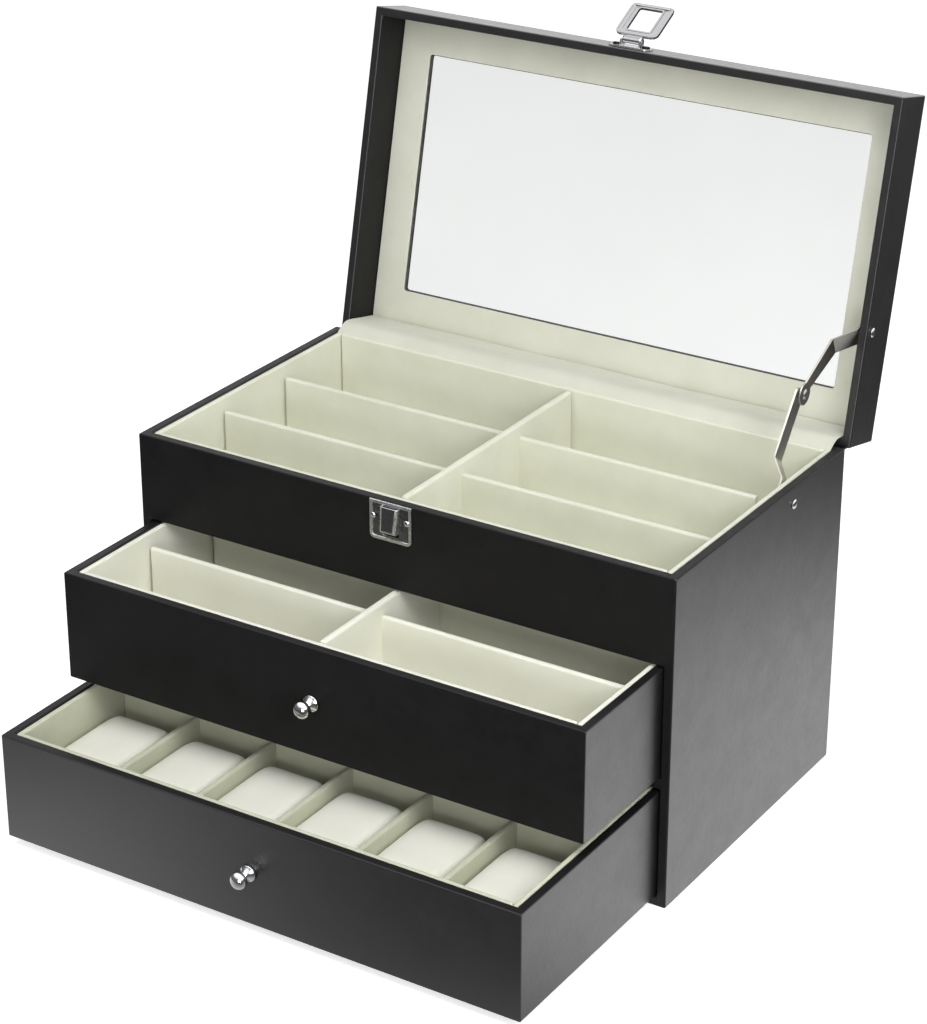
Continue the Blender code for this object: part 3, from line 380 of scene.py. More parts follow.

# %% [markdown]
# Each finish is a Principled shader whose plain numbers sit on its own
# sockets, and whose colour, roughness and bump come from a pattern in object
# coordinates. That keeps the patterns at their real scale on every piece,
# because each piece's place is in its mesh. The velvet is one fabric, but each
# place has its own two tones with painted light and shade in them: painted
# lighter in the middle drawer and on the pillows, and painted darker in the
# watch drawer and on the lid.

# %% Helpers that start a material and give it a bump
def new_material(name, **sockets):
    """A material with one Principled shader and its plain numbers."""
    material = bpy.data.materials.new(name)
    material.use_nodes = True
    shader = material.node_tree.nodes["Principled BSDF"]
    for label, value in sockets.items():
        shader.inputs[label.replace("_", " ")].default_value = value
    return material, material.node_tree, shader


def object_place(tree):
    """The point on the piece in its own coordinates."""
    return tree.nodes.new("ShaderNodeTexCoord").outputs["Object"]


def add_bump(tree, shader, height, distance, strength=1.0):
    """Feeds a height to the shader's normal."""
    bump = new_node(tree, "Bump", {"Distance": distance, "Strength": strength, "Height": height})
    tree.links.new(bump.outputs["Normal"], shader.inputs["Normal"])


def vary(tree, shader, factor, dark, light, smooth, rough):
    """Lets a factor run through the shader's colour and its roughness."""
    values = {"Factor": factor, "A": (*dark, 1), "B": (*light, 1)}
    colour = new_node(tree, "Mix", values, data_type="RGBA").outputs["Result"]
    roughness = ramp_node(tree, factor, 0, 1, smooth, rough, "LINEAR")
    tree.links.new(colour, shader.inputs["Base Color"])
    tree.links.new(roughness, shader.inputs["Roughness"])


def place_group(tree, group):
    """A shared group on the piece's own coordinates."""
    node = new_node(tree, "Group", {"Place": object_place(tree)}, node_tree=group)
    return node.outputs["Tone"], node.outputs["Height"]


# %% The black leather, satin and matt
GRAIN_DEPTH = 0.12 * MM
LEATHER_BLACK = (0.003, 0.003, 0.0035)
LEATHER_WORN = (0.012, 0.0115, 0.012)


def make_leather(name, gloss, roughness):
    """Black leather with a fine pressed grain, under a thin clear finish."""
    finish = {"IOR": 1.2 + 0.3 * gloss, "Coat_Weight": gloss, "Coat_Roughness": roughness}
    material, tree, shader = new_material(name, **finish)
    tone, height = place_group(tree, GRAIN)
    vary(tree, shader, tone, LEATHER_BLACK, LEATHER_WORN, roughness - 0.28, roughness + 0.3)
    add_bump(tree, shader, height, GRAIN_DEPTH)
    return material


leather = make_leather("satin black leather", 1.0, 0.38)
matt_leather = make_leather("matt black leather", 0.12, 0.46)
print("made", leather.name, "and", matt_leather.name)


# %% The velvet of the linings and of the pillows
NAP_DEPTH = 0.12 * MM


def make_velvet(name, dark, light):
    """Short pale velvet: a soft rim of light, and clouds where it was brushed."""
    soft = {"Sheen_Weight": 0.25, "Sheen_Roughness": 0.4, "Specular_IOR_Level": 0.1}
    material, tree, shader = new_material(name, **soft)
    tone, height = place_group(tree, NAP)
    vary(tree, shader, tone, dark, light, 0.85, 0.95)
    add_bump(tree, shader, height, NAP_DEPTH, 0.6)
    return material


# The tray's velvet has the fabric's own tones. The other four are copies of it with painted light and shade:
# painted lighter for the middle drawer and the pillows, and painted darker for the watch drawer, the lid's
# panel and the hinge strip.
lining_velvet = make_velvet("lining velvet", (0.62, 0.63, 0.50), (0.77, 0.775, 0.665))
drawer_velvet_painted_lighter = make_velvet("drawer velvet", (0.76, 0.765, 0.64), (0.88, 0.88, 0.785))
watch_velvet_painted_darker = make_velvet("watch drawer velvet", (0.50, 0.51, 0.38), (0.66, 0.67, 0.53))
lid_velvet_painted_darker = make_velvet("lid velvet", (0.55, 0.555, 0.45), (0.69, 0.695, 0.60))
pillow_velvet_painted_lighter = make_velvet("pillow velvet", (0.82, 0.82, 0.70), (0.92, 0.92, 0.83))
print("made", lining_velvet.name, drawer_velvet_painted_lighter.name, watch_velvet_painted_darker.name)
print("made", lid_velvet_painted_darker.name, pillow_velvet_painted_lighter.name)


# %% The metals and the glass
POLISH_DEPTH = 0.01 * MM


def make_metal(name, colour, low, high, scale):
    """Metal with a cloudy polish."""
    material, tree, shader = new_material(name, Metallic=1.0)
    polish = noise_node(tree, object_place(tree), scale, 4.0, 0.6)
    vary(tree, shader, polish, [0.8 * value for value in colour], colour, low, high)
    add_bump(tree, shader, polish, POLISH_DEPTH)
    return material


chrome = make_metal("bright chrome", (0.78, 0.79, 0.81), 0.06, 0.2, 260.0)
catch_chrome = make_metal("satin catch chrome", (0.85, 0.86, 0.88), 0.2, 0.36, 420.0)
hasp_chrome_and_tongue_shade = make_metal("brushed hasp chrome", (0.42, 0.42, 0.43), 0.14, 0.3, 420.0)
chrome_painted_shade = make_metal("shaded chrome", (0.2, 0.2, 0.21), 0.16, 0.34, 420.0)
near_black_screw = make_metal("blackened screw", (0.03, 0.03, 0.032), 0.3, 0.5, 420.0)
stay_steel = make_metal("dull stay steel", (0.56, 0.54, 0.50), 0.26, 0.42, 700.0)


def make_glass():
    """Clear window glass, with the faintest unevenness of a wiped pane."""
    material, tree, shader = new_material("window glass", Transmission_Weight=1.0, IOR=1.45)
    wipe = noise_node(tree, object_place(tree), 30.0)
    vary(tree, shader, wipe, (0.94, 0.96, 0.95), (0.98, 0.99, 0.98), 0.0, 0.02)
    return material


window_glass = make_glass()
print("made", chrome.name, hasp_chrome_and_tongue_shade.name, chrome_painted_shade.name, stay_steel.name, window_glass.name)

# %% [markdown]
# The cabinet is seven boards under one continuous wrap of leather, so its
# visible skin is one shell and not seven boards with seams. A block is cut all
# round at the walls, and the cells of the top and of the front are pushed in:
# one for the tray, two for the drawers. Pushing keeps the shell closed, which
# joined boards would not. The front and the rims are duller than the sides.

# %% The cabinet's leather case
CASE_RADIUS = 0.9 * MM


def inset_box(obj, low, high, axis, side, depth):
    """Cuts one side of obj along the two other axes and pushes the middle in."""
    others = [other for other in (X, Y, Z) if other != axis]
    for other in others:
        cut_round(obj, other, low[other], high[other])

    def inside(centre, normal):
        within = all(low[other] < centre[other] < high[other] for other in others)
        return within and normal[axis] * side > FACING

    move = Vector()
    move[axis] = -side * depth
    push(obj, inside, move)


def make_cabinet_case():
    """The wrapped cabinet with its tray well and its two drawer bays."""
    left_low, left_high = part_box("cabinet_left_side")
    right_low, right_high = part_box("cabinet_right_side")
    fascia_low, fascia_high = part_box("cabinet_fascia")
    shelf_low, shelf_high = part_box("drawer_shelf")
    back_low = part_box("cabinet_back")[0]
    bottom_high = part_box("cabinet_bottom")[1]
    floor_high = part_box("tray_floor")[1]
    case = block("cabinet_case", (left_low.x, left_low.y, 0), right_high)
    well_low = Vector((left_high.x, fascia_high.y, 0))
    well_high = Vector((right_low.x, back_low.y, right_high.z))
    inset_box(case, well_low, well_high, Z, 1, right_high.z - floor_high.z)
    cut_round(case, Z, bottom_high.z, shelf_low.z, shelf_high.z, fascia_low.z)
    bays = ((bottom_high.z, shelf_low.z), (shelf_high.z, fascia_low.z))

    def in_a_bay(centre, normal):
        level = any(low < centre.z < high for low, high in bays)
        between = abs(centre.x) < right_low.x and centre.y < fascia_high.y
        return level and between and normal.y < -FACING

    push(case, in_a_bay, (0, back_low.y - left_low.y, 0))
    return round_edges(case, CASE_RADIUS)


CABINET_BOARDS = [
    "cabinet_left_side", "cabinet_right_side", "cabinet_back", "cabinet_bottom",
    "cabinet_fascia", "drawer_shelf", "tray_floor",
]


def paint_two(obj, main, second, test):
    """Gives the faces that pass the test a finish of their own."""
    obj.data.materials.clear()
    obj.data.materials.append(main)
    obj.data.materials.append(second)
    for face in obj.data.polygons:
        face.material_index = int(test(face.center, face.normal))


def front_or_rim(centre, normal):
    return normal.y < -LEANING or normal.z > LEANING


cabinet_case = make_cabinet_case()
paint_two(cabinet_case, leather, matt_leather, front_or_rim)
put(cabinet_case, None, "cabinet", "black_leather", *CABINET_BOARDS)

# %% [markdown]
# The drawers are open boxes of wrapped board with a velvet lining inside. The
# wrapped case is a block whose top is pushed in as far as its floor. The lining
# is made as in the workshop, from five thin boards under velvet: a floor and
# four walls, each with a round edge and a hair of space between them, which
# gives the soft seams in the corners.

# %% Open boxes: drawer cases and linings
DRAWER_SIDES = ("front", "left_side", "right_side", "back", "bottom")
DRAWER_RADIUS = 0.8 * MM
LINING_WALL = 3 * MM
LINING_FLOOR = 2 * MM
LINING_GAP = 0.35 * MM
WALL_RADIUS = 1.25 * MM
FLOOR_RADIUS = 0.4 * MM


def make_drawer_case(drawer):
    """One drawer's wrapped boards."""
    front_low, front_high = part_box(drawer + "_front")
    bottom_low, bottom_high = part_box(drawer + "_bottom")
    high = Vector((front_high.x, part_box(drawer + "_back")[1].y, front_high.z))
    thickness = front_high.y - front_low.y
    wall = Vector((thickness, thickness, 0))
    case = block(drawer + "_case", front_low, high)
    depth = high.z - front_low.z - (bottom_high.z - bottom_low.z)
    inset_box(case, front_low + wall, high - wall, Z, 1, depth)
    round_edges(case, DRAWER_RADIUS, 4)
    nodes = [drawer + "_" + side for side in DRAWER_SIDES]

    def rim_or_dull_front(centre, normal):
        return normal.z > LEANING or (normal.y < -LEANING and drawer == "middle_drawer")

    paint_two(case, leather, matt_leather, rim_or_dull_front)
    return put(case, None, drawer, "black_leather", *nodes)


def make_lining(node, body, velvet):
    """The lining of a drawer or of the tray: five boards under velvet."""
    low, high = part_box(node)
    inside = Vector((LINING_WALL + LINING_GAP, 0, 0))
    floor = block("floor", low, (high.x, high.y, low.z + LINING_FLOOR))
    walls = (
        (low, (low.x + LINING_WALL, high.y, high.z)),
        ((high.x - LINING_WALL, low.y, low.z), high),
        (low + inside, (high.x - inside.x, low.y + LINING_WALL, high.z)),
        ((low.x + inside.x, high.y - LINING_WALL, low.z), high - inside),
    )
    boards = [round_edges(floor, FLOOR_RADIUS, 4)]
    boards += [round_edges(block("wall", *pair), WALL_RADIUS, 4) for pair in walls]
    return put(joined(node + "_velvet", boards), velvet, body, "lining", node)


for drawer, velvet in (("middle_drawer", drawer_velvet_painted_lighter), ("bottom_drawer", watch_velvet_painted_darker)):
    make_drawer_case(drawer)
    make_lining(drawer + "_lining", drawer, velvet)
make_lining("tray_lining", "cabinet", lining_velvet)

# %% [markdown]
# The dividers are thin boards under the same velvet, with a rounded top that
# catches the light. The watch drawer's dividers stand between the pillows, so
# their places are the middles of the gaps between neighbouring pillows. The
# tray's back divider has a notch at its right end, where the shut stay lies.

# %% Dividers
DIVIDER_ROUND_SHARE = 0.42
WATCH_BOARD = 3.5 * MM
END_GROOVE = 0.9 * MM
STAY_NOTCH_LENGTH = 9.5 * MM
STAY_NOTCH_DEPTH = 9 * MM
OVERRUN = 1 * MM


def divider(name, low, high):
    """A thin board under velvet, with its long edges fully rounded."""
    board = block(name, low, high)
    thickness = min(high.x - low.x, high.y - low.y)
    return round_edges(board, DIVIDER_ROUND_SHARE * thickness, 4)


def drawn_back(low, high):
    """The two corners of a board with its two ends drawn back from its neighbours."""
    groove = Vector()
    groove[X if high.x - low.x > high.y - low.y else Y] = END_GROOVE
    return low + groove, high - groove


PLAIN_DIVIDERS = {
    "tray_centre_divider": "cabinet",
    "tray_cross_divider_front": "cabinet",
    "tray_cross_divider_back": "cabinet",
    "middle_drawer_centre_divider": "middle_drawer",
    "middle_drawer_cross_divider_front": "middle_drawer",
    "middle_drawer_cross_divider_back": "middle_drawer",
}


def cut_stay_notch(board, low, high):
    """Takes the top corner off a board's right end, where the shut stay lies."""
    corner = (high.x - STAY_NOTCH_LENGTH, low.y - OVERRUN, high.z - STAY_NOTCH_DEPTH)
    cutter = block("notch", corner, high + Vector((OVERRUN, OVERRUN, OVERRUN)))
    modify(board, "BOOLEAN", object=cutter, solver="EXACT")
    bpy.data.objects.remove(cutter)


for node, body in PLAIN_DIVIDERS.items():
    low, high = drawn_back(*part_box(node))
    velvet = lining_velvet if body == "cabinet" else drawer_velvet_painted_lighter
    board = divider(node + "_velvet", low, high)
    if node == "tray_cross_divider_back":
        cut_stay_notch(board, low, high)
    put(board, velvet, body, "lining", node)


def make_watch_grid():
    """The grid that parts the watch pillows."""
    low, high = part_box("watch_divider_grid")
    half = WATCH_BOARD / 2
    middle = (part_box("watch_pillow_front_1")[1].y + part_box("watch_pillow_back_1")[0].y) / 2
    row_low = Vector((low.x, middle - half, low.z))
    row_high = Vector((high.x, middle + half, high.z))
    boards = [divider("row_divider", row_low, row_high)]
    for column in range(1, 6):
        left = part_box(f"watch_pillow_front_{column}")[1].x
        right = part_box(f"watch_pillow_front_{column + 1}")[0].x
        centre = (left + right) / 2
        column_low = Vector((centre - half, low.y, low.z))
        column_high = Vector((centre + half, high.y, high.z))
        boards.append(divider(f"column_divider_{column}", column_low, column_high))
    return joined("watch_divider_grid_velvet", boards)


put(make_watch_grid(), watch_velvet_painted_darker, "bottom_drawer", "lining", "watch_divider_grid")

# %% [markdown]
# Twelve watch pillows lie in the bottom drawer. A pillow is foam in a sewn
# velvet sleeve: its top is full, its corners are round and its sides bulge a
# little. One pillow is blown up with a cloth simulation, as air in a bag would
# do it, then fitted to the size that the frame gives, and copied.

# %% The watch pillows
PILLOW_VOXEL = 4 * MM
PILLOW_SHRINK = 0.94
PILLOW_CAP = 5 * MM
PILLOW_FRAMES = 20
PILLOW_RADIUS = 4.5 * MM
PILLOW_PRESSURE = 4


def make_pillow_form(size):
    """One pillow about the origin, pressed out like a filled bag."""
    form = block("pillow_form", -size * PILLOW_SHRINK / 2, size * PILLOW_SHRINK / 2)
    round_edges(form, PILLOW_RADIUS, 4)
    modify(form, "REMESH", mode="VOXEL", voxel_size=PILLOW_VOXEL)
    before = [vertex.co.copy() for vertex in form.data.vertices]
    cloth = form.modifiers.new("filling", "CLOTH")
    cloth.settings.use_pressure = True
    cloth.settings.uniform_pressure_force = PILLOW_PRESSURE
    cloth.settings.effector_weights.gravity = 0
    for step in range(1, PILLOW_FRAMES + 1):
        bpy.context.scene.frame_set(step)
    bpy.ops.object.modifier_apply(modifier=cloth.name)
    bpy.context.scene.frame_set(1)
    for vertex, place in zip(form.data.vertices, before):
        move = vertex.co - place
        if move.length > PILLOW_CAP:
            vertex.co = place + move.normalized() * PILLOW_CAP
    modify(form, "SMOOTH", iterations=1)
    modify(form, "SUBSURF", levels=1, render_levels=1)
    return form


def fit_to(obj, low, high):
    """Stretches a copy of a form so that it just fills the box between two corners."""
    form_low, form_high = corners(vertex.co for vertex in obj.data.vertices)
    size = form_high - form_low
    stretch = Matrix.Diagonal([(high[axis] - low[axis]) / size[axis] for axis in (X, Y, Z)]).to_4x4()
    to_middle = Matrix.Translation(-(form_low + form_high) / 2)
    obj.data.transform(Matrix.Translation((low + high) / 2) @ stretch @ to_middle)


pillow_low, pillow_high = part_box("watch_pillow_front_1")
pillow_form = make_pillow_form(pillow_high - pillow_low)
for row in ("front", "back"):
    for column in range(1, 7):
        node = f"watch_pillow_{row}_{column}"
        low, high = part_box(node)
        pillow = pillow_form.copy()
        pillow.data = pillow_form.data.copy()
        bpy.context.scene.collection.objects.link(pillow)
        named(pillow, node + "_velvet")
        fit_to(pillow, low, high)
        put(pillow, pillow_velvet_painted_lighter, "bottom_drawer", "pillow", node)
bpy.data.objects.remove(pillow_form)

# %% [markdown]
# The lid is a shallow leather frame with a board that holds the window. It is
# one wrapped shell as well, made shut and turned open at the end: a block is
# hollowed from below, the window's two faces are taken out, and their edges
# are bridged. The lining panel inside has a slightly wider window, so that the
# board's dark edge shows as a thin line round it.

# %% The lid's case, its lining panel and its glass
WINDOW_CORNER = 1.6 * MM
WINDOW_LAP = 5 * MM
LID_WALL = 5 * MM
LINING_REVEAL = 0.5 * MM
PANEL_RADIUS = 0.5 * MM


def open_window(obj, low, high, corner):
    """Takes a window out of a board that lies flat, and closes its four sides."""
    cut_round(obj, X, low.x, high.x)
    cut_round(obj, Y, low.y, high.y)

    def in_window(centre, normal):
        within = low.x < centre.x < high.x and low.y < centre.y < high.y
        return within and abs(normal.z) > FACING

    pick_faces(obj, in_window)
    bpy.ops.mesh.delete(type="FACE")
    bpy.ops.mesh.select_mode(type="EDGE")
    bpy.ops.mesh.select_non_manifold()
    bpy.ops.mesh.bridge_edge_loops()
    leave()

    def at_corner(first, second):
        upright = abs(first.z - second.z) > HAIR and abs(first.x - second.x) < HAIR
        beside_x = min(abs(first.x - low.x), abs(first.x - high.x)) < HAIR
        beside_y = min(abs(first.y - low.y), abs(first.y - high.y)) < HAIR
        return upright and beside_x and beside_y

    bevel_edges(obj, at_corner, corner, 4)


def window_corners():
    """The window in the shut lid: the glass less the lap that holds it."""
    low, high = shut_box("lid_glass")
    lap = Vector((WINDOW_LAP, WINDOW_LAP, 0))
    return low + lap, high - lap


def make_lid_case():
    """The wrapped frame and board of the lid."""
    frame_low, frame_high = shut_box("lid_frame")
    panel_high = shut_box("lid_lining_panel")[1]
    case = block("lid_case", frame_low, shut_box("lid_top_board")[1])
    wall = Vector((LID_WALL, LID_WALL, 0))
    inset_box(case, frame_low + wall, frame_high - wall, Z, -1, panel_high.z - frame_low.z)
    open_window(case, *window_corners(), WINDOW_CORNER)
    round_edges(case, CASE_RADIUS)

    def inside(centre, normal):
        limit = frame_high - wall / 2
        return abs(centre.x) < limit.x and abs(centre.y) < limit.y and abs(normal.z) < 0.5

    paint_two(case, leather, matt_leather, inside)
    return opened(case)


def make_lid_panel():
    """The pale panel inside the lid."""
    low, high = shut_box("lid_lining_panel")
    window_low, window_high = window_corners()
    reveal = Vector((LINING_REVEAL, LINING_REVEAL, 0))
    panel = block("lid_panel_velvet", low, high)
    open_window(panel, window_low - reveal, window_high + reveal, WINDOW_CORNER)
    round_edges(panel, PANEL_RADIUS, 2)
    return opened(panel)


put(make_lid_case(), None, "lid", "black_leather", "lid_frame", "lid_top_board")
put(make_lid_panel(), lid_velvet_painted_darker, "lid", "lining", "lid_lining_panel")

glass = frame["nodes"]["lid_glass"]
glass.data.materials.clear()
glass.data.materials.append(window_glass)
print(glass.name, "stays, in", window_glass.name)

# %% [markdown]
# Two soft strips cross the hinge: leather outside, and lining inside, which
# hides the gap behind the tray. Each is a sheet along a smooth line that is
# drawn in the open lid's shape, because that is how the box is seen. The
# sheets stay in that shape.

# %% Sheets along a line
STRIP_THICKNESS = 0.8 * MM


def smooth_line(points, steps):
    """Points along a smooth curve through the given ones."""
    line = []
    count = len(points)
    for index in range(count - 1):
        before = points[max(index - 1, 0)]
        start = points[index]
        end = points[index + 1]
        after = points[min(index + 2, count - 1)]
        for step in range(steps):
            t = step / steps
            line.append(0.5 * (2 * start + (end - before) * t
                               + (2 * before - 5 * start + 4 * end - after) * t ** 2
                               + (3 * start - before - 3 * end + after) * t ** 3))
    line.append(points[-1].copy())
    return line


def sheet_along(name, line, half_width, columns, wave=lambda across, place: Vector()):
    """A sheet as wide as the box that follows a line in its side view."""
    rows = len(line) - 1
    sheet = added(bpy.ops.mesh.primitive_grid_add, name, x_subdivisions=columns, y_subdivisions=rows, size=2)
    for vertex in sheet.data.vertices:
        place = line[round((vertex.co.y + 1) / 2 * rows)]
        across = vertex.co.x
        vertex.co = Vector((across * half_width, place.y, place.z)) + wave(across, place)
    edit(sheet)
    bpy.ops.mesh.select_all(action="SELECT")
    bpy.ops.mesh.normals_make_consistent(inside=False)
    leave()
    modify(sheet, "SOLIDIFY", thickness=STRIP_THICKNESS, offset=0)
    round_edges(sheet, STRIP_THICKNESS * 0.3, 2)
    return sheet


def on_open_lid(y, z):
    """A point that is given on the shut lid, where the open lid has it."""
    return TO_OPEN @ Vector((0, y, z))


def hang_strip(strip, material, slot, start, end, *nodes):
    """Paints a strip, keeps its place in its mesh and hides the nodes that it stands for."""
    strip.data.materials.append(material)
    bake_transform(strip)
    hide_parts(*nodes)
    print(strip.name, "has", len(strip.data.vertices), "points")


# %% The leather hinge behind the box
def make_leather_hinge():
    """One strip of leather from the cabinet's back round to the lid's back."""
    body_low, body_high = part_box("leather_hinge_body_flap")
    lid_low, lid_high = shut_box("leather_hinge_lid_flap")
    body_y = (body_low.y + body_high.y) / 2
    lid_y = (lid_low.y + lid_high.y) / 2
    start = Vector((0, body_y, body_high.z - 1.5 * MM))
    end = on_open_lid(lid_y, lid_low.z - 0.5 * MM)
    turn = Vector((0, HINGE.y + 0.6 * MM, HINGE.z - 0.9 * MM))
    points = [
        Vector((0, body_y, body_low.z)),
        Vector((0, body_y, (body_low.z + body_high.z) / 2)),
        start, turn, end,
        on_open_lid(lid_y, (lid_low.z + lid_high.z) / 2),
        on_open_lid(lid_y, lid_high.z),
    ]
    strip = sheet_along("leather_hinge", smooth_line(points, 6), body_high.x, 24)
    nodes = ("leather_hinge_body_flap", "leather_hinge_lid_flap")
    hang_strip(strip, leather, "black_leather", start, end, *nodes)


make_leather_hinge()


# %% The lining strip over the hinge
FOLD_START = 10 * MM
FOLD_HEIGHT = 0.35 * MM
SIDE_MARGIN = 0.5 * MM


def make_lining_strip():
    """Velvet from the tray's back rim over the gap and along the lid's back wall."""
    tray_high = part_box("tray_lining")[1]
    strip_low, strip_high = shut_box("hinge_lining_strip")
    strip_y = (strip_low.y + strip_high.y) / 2
    start = Vector((0, tray_high.y - 0.2 * MM, tray_high.z))
    end = on_open_lid(strip_y, strip_low.z + 0.6 * MM)
    crown = Vector((0, (start.y + end.y) / 2, max(start.z, end.z) + 0.3 * MM))
    points = [
        Vector((0, tray_high.y - 1.4 * MM, tray_high.z - 2.2 * MM)),
        start, crown, end,
        on_open_lid(strip_y, strip_low.z + 0.35 * (strip_high.z - strip_low.z)),
        on_open_lid(strip_y, strip_low.z + 0.7 * (strip_high.z - strip_low.z)),
        on_open_lid(strip_y, strip_high.z - 0.3 * MM),
    ]
    line = smooth_line(points, 8)
    on_lid = (on_open_lid(strip_y, strip_high.z) - end).normalized()

    def fold(across, place):
        run = (place - end).dot(on_lid)
        share = min(max(run / FOLD_START, 0), 1)
        ends = 1 - abs(across) ** 8
        lift = FOLD_HEIGHT * math.sin(run / MM * 0.9 + 2 * math.sin(across * 5)) * share * ends
        return Vector((0, 0, lift))

    half_width = shut_box("lid_lining_panel")[1].x - SIDE_MARGIN
    strip = sheet_along("hinge_lining", line, half_width, 60, fold)
    hang_strip(strip, lid_velvet_painted_darker, "lining", start, end, "hinge_lining_strip")


make_lining_strip()

# %% [markdown]
# The small metal pieces were modelled to size in the frame, with hard edges.
# Pressed and plated metal never has those, so each is copied, its loose
# triangles are merged to clean faces, and its edges are rounded. That bright
# line along an edge is what makes chrome read as chrome. The table gives each
# piece its body, its edge radius in millimetres, its slot and its finish.

# %% The small metal pieces
def softened(node, name, width, segments=2, angle=35):
    """A copy of a node with clean faces and rounded edges."""
    source = frame["nodes"][node]
    copy = source.copy()
    copy.data = source.data.copy()
    copy.parent = None
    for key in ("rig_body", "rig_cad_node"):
        del copy[key]
    bpy.context.scene.collection.objects.link(copy)
    copy.name = name
    copy.data.name = name
    edit(copy)
    bpy.ops.mesh.select_all(action="SELECT")
    bpy.ops.mesh.remove_doubles(threshold=1e-6)
    bpy.ops.mesh.dissolve_limited(angle_limit=math.radians(0.6))
    leave()
    bpy.ops.mesh.customdata_custom_splitnormals_clear()
    return round_edges(copy, width, segments, angle)


METAL_PIECES = {
    "catch_pin_left": ("cabinet", 0.35, "chrome", chrome),
    "catch_pin_right": ("cabinet", 0.35, "chrome", chrome),
    "stay_body_rivet": ("cabinet", 0.4, "chrome", chrome),
    "stay_lid_rivet": ("lid", 0.4, "chrome", chrome),
    "hasp_base": ("lid", 0.3, "chrome", catch_chrome),
    "hasp_pin": ("lid", 0.2, "chrome", chrome),
    "hasp_loop": ("hasp", 0.45, "chrome", hasp_chrome_and_tongue_shade),
    "stay_lower_link": ("stay_lower", 0.4, "stay_steel", stay_steel),
    "stay_upper_link": ("stay_upper", 0.4, "stay_steel", stay_steel),
    "stay_mid_rivet": ("stay_upper", 0.3, "stay_steel", stay_steel),
    "middle_drawer_knob": ("middle_drawer", 0.3, "chrome", chrome),
    "bottom_drawer_knob": ("bottom_drawer", 0.3, "chrome", chrome),
}
plated = {}
for node, (body, radius, slot, material) in METAL_PIECES.items():
    piece = softened(node, node + "_plated", radius * MM)
    plated[node] = put(piece, material, body, slot, node)

# %% [markdown]
# The stay is two pressed links that meet at a round head. Each link is narrow
# at its rivet and then widens to a broad band, which is drawn here on the
# copies: a point is moved away from the link's middle line by a share that
# grows along it.

# %% The stay's broad bands
def widen(obj, start, end, ends, wider):
    """Spreads a link in its own plane between two distances from its start."""
    along = (end - start).normalized()
    across = Vector((0, along.z, -along.y))
    for vertex in obj.data.vertices:
        run = (vertex.co - start).dot(along)
        rise = min(max((run - ends[0]) / (ends[1] - ends[0]), 0), 1)
        share = rise * rise * (3 - 2 * rise)
        vertex.co += across * (vertex.co - start).dot(across) * share * wider


joints = {joint["name"]: joint for joint in frame["joints"]}
body_pivot = Vector(joints["stay_lower_pivot"]["pos_m"])
lid_pivot = Vector(joints["stay_upper_pivot"]["pos_m"])
rivet_low, rivet_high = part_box("stay_mid_rivet")
middle_pivot = (rivet_low + rivet_high) / 2
for pivot in (body_pivot, lid_pivot):
    pivot.x = middle_pivot.x
widen(plated["stay_lower_link"], body_pivot, middle_pivot, (8 * MM, 15 * MM), 0.8)
widen(plated["stay_upper_link"], middle_pivot, lid_pivot, (7 * MM, 13 * MM), 0.85)
print("stay's middle pivot in mm:", [round(value / MM, 2) for value in middle_pivot])

# %% [markdown]
# The catch is a plate with a raised rim and a tongue that is pressed out of
# it, open at the top, for the hasp to drop over. It is modelled lying flat,
# because the helper for the lid's window cuts a hole in a flat board, and
# then stood up against the fascia.

# %% The catch
PLATE_THICKNESS = 1 * MM
PLATE_CORNER = 3 * MM
PLATE_RIM = 1.7 * MM
PLATE_SINK = 0.6 * MM
TONGUE_HALF_WIDTH = 5.75 * MM
TONGUE_TOP = 2.2 * MM
TONGUE_BOTTOM = 16.7 * MM
TONGUE_CORNER = 2.3 * MM
TONGUE_WALL = 0.9 * MM
TONGUE_HOLLOW = 11 * MM
SLOT_MARGIN = 0.8 * MM
SLOT_GAP = 0.3 * MM
SLOT_HEIGHT = 2.3 * MM
LEAN_SHARE = 0.45
TAPER_SHARE = 0.14


def make_catch_plate(low, high, middle):
    """The plate, lying flat, with its rim and with the slot below the tongue."""
    plate = block("catch_plate_pressed", (low.x, low.z, 0), (high.x, high.z, PLATE_THICKNESS))

    def lower_corner(first, second):
        return abs(first.z - second.z) > HAIR and max(first.y, second.y) < low.z + HAIR

    bevel_edges(plate, lower_corner, PLATE_CORNER, 6)
    sink(plate, lambda centre, normal: normal.z > FACING, PLATE_RIM, (0, 0, -PLATE_SINK))
    half_slot = TONGUE_HALF_WIDTH - SLOT_MARGIN
    slot_top = high.z - TONGUE_BOTTOM - SLOT_GAP
    slot_low = Vector((middle - half_slot, slot_top - SLOT_HEIGHT, 0))
    open_window(plate, slot_low, Vector((middle + half_slot, slot_top, 0)), 0.4 * MM)
    round_edges(plate, 0.5 * MM, 4)

    def in_the_field(centre, normal):
        return normal.z > FACING and centre.z < PLATE_THICKNESS - PLATE_SINK / 2

    # The sunk field gets a much darker chrome than the rim round it: painted shade.
    paint_two(plate, catch_chrome, chrome_painted_shade, in_the_field)
    return plate


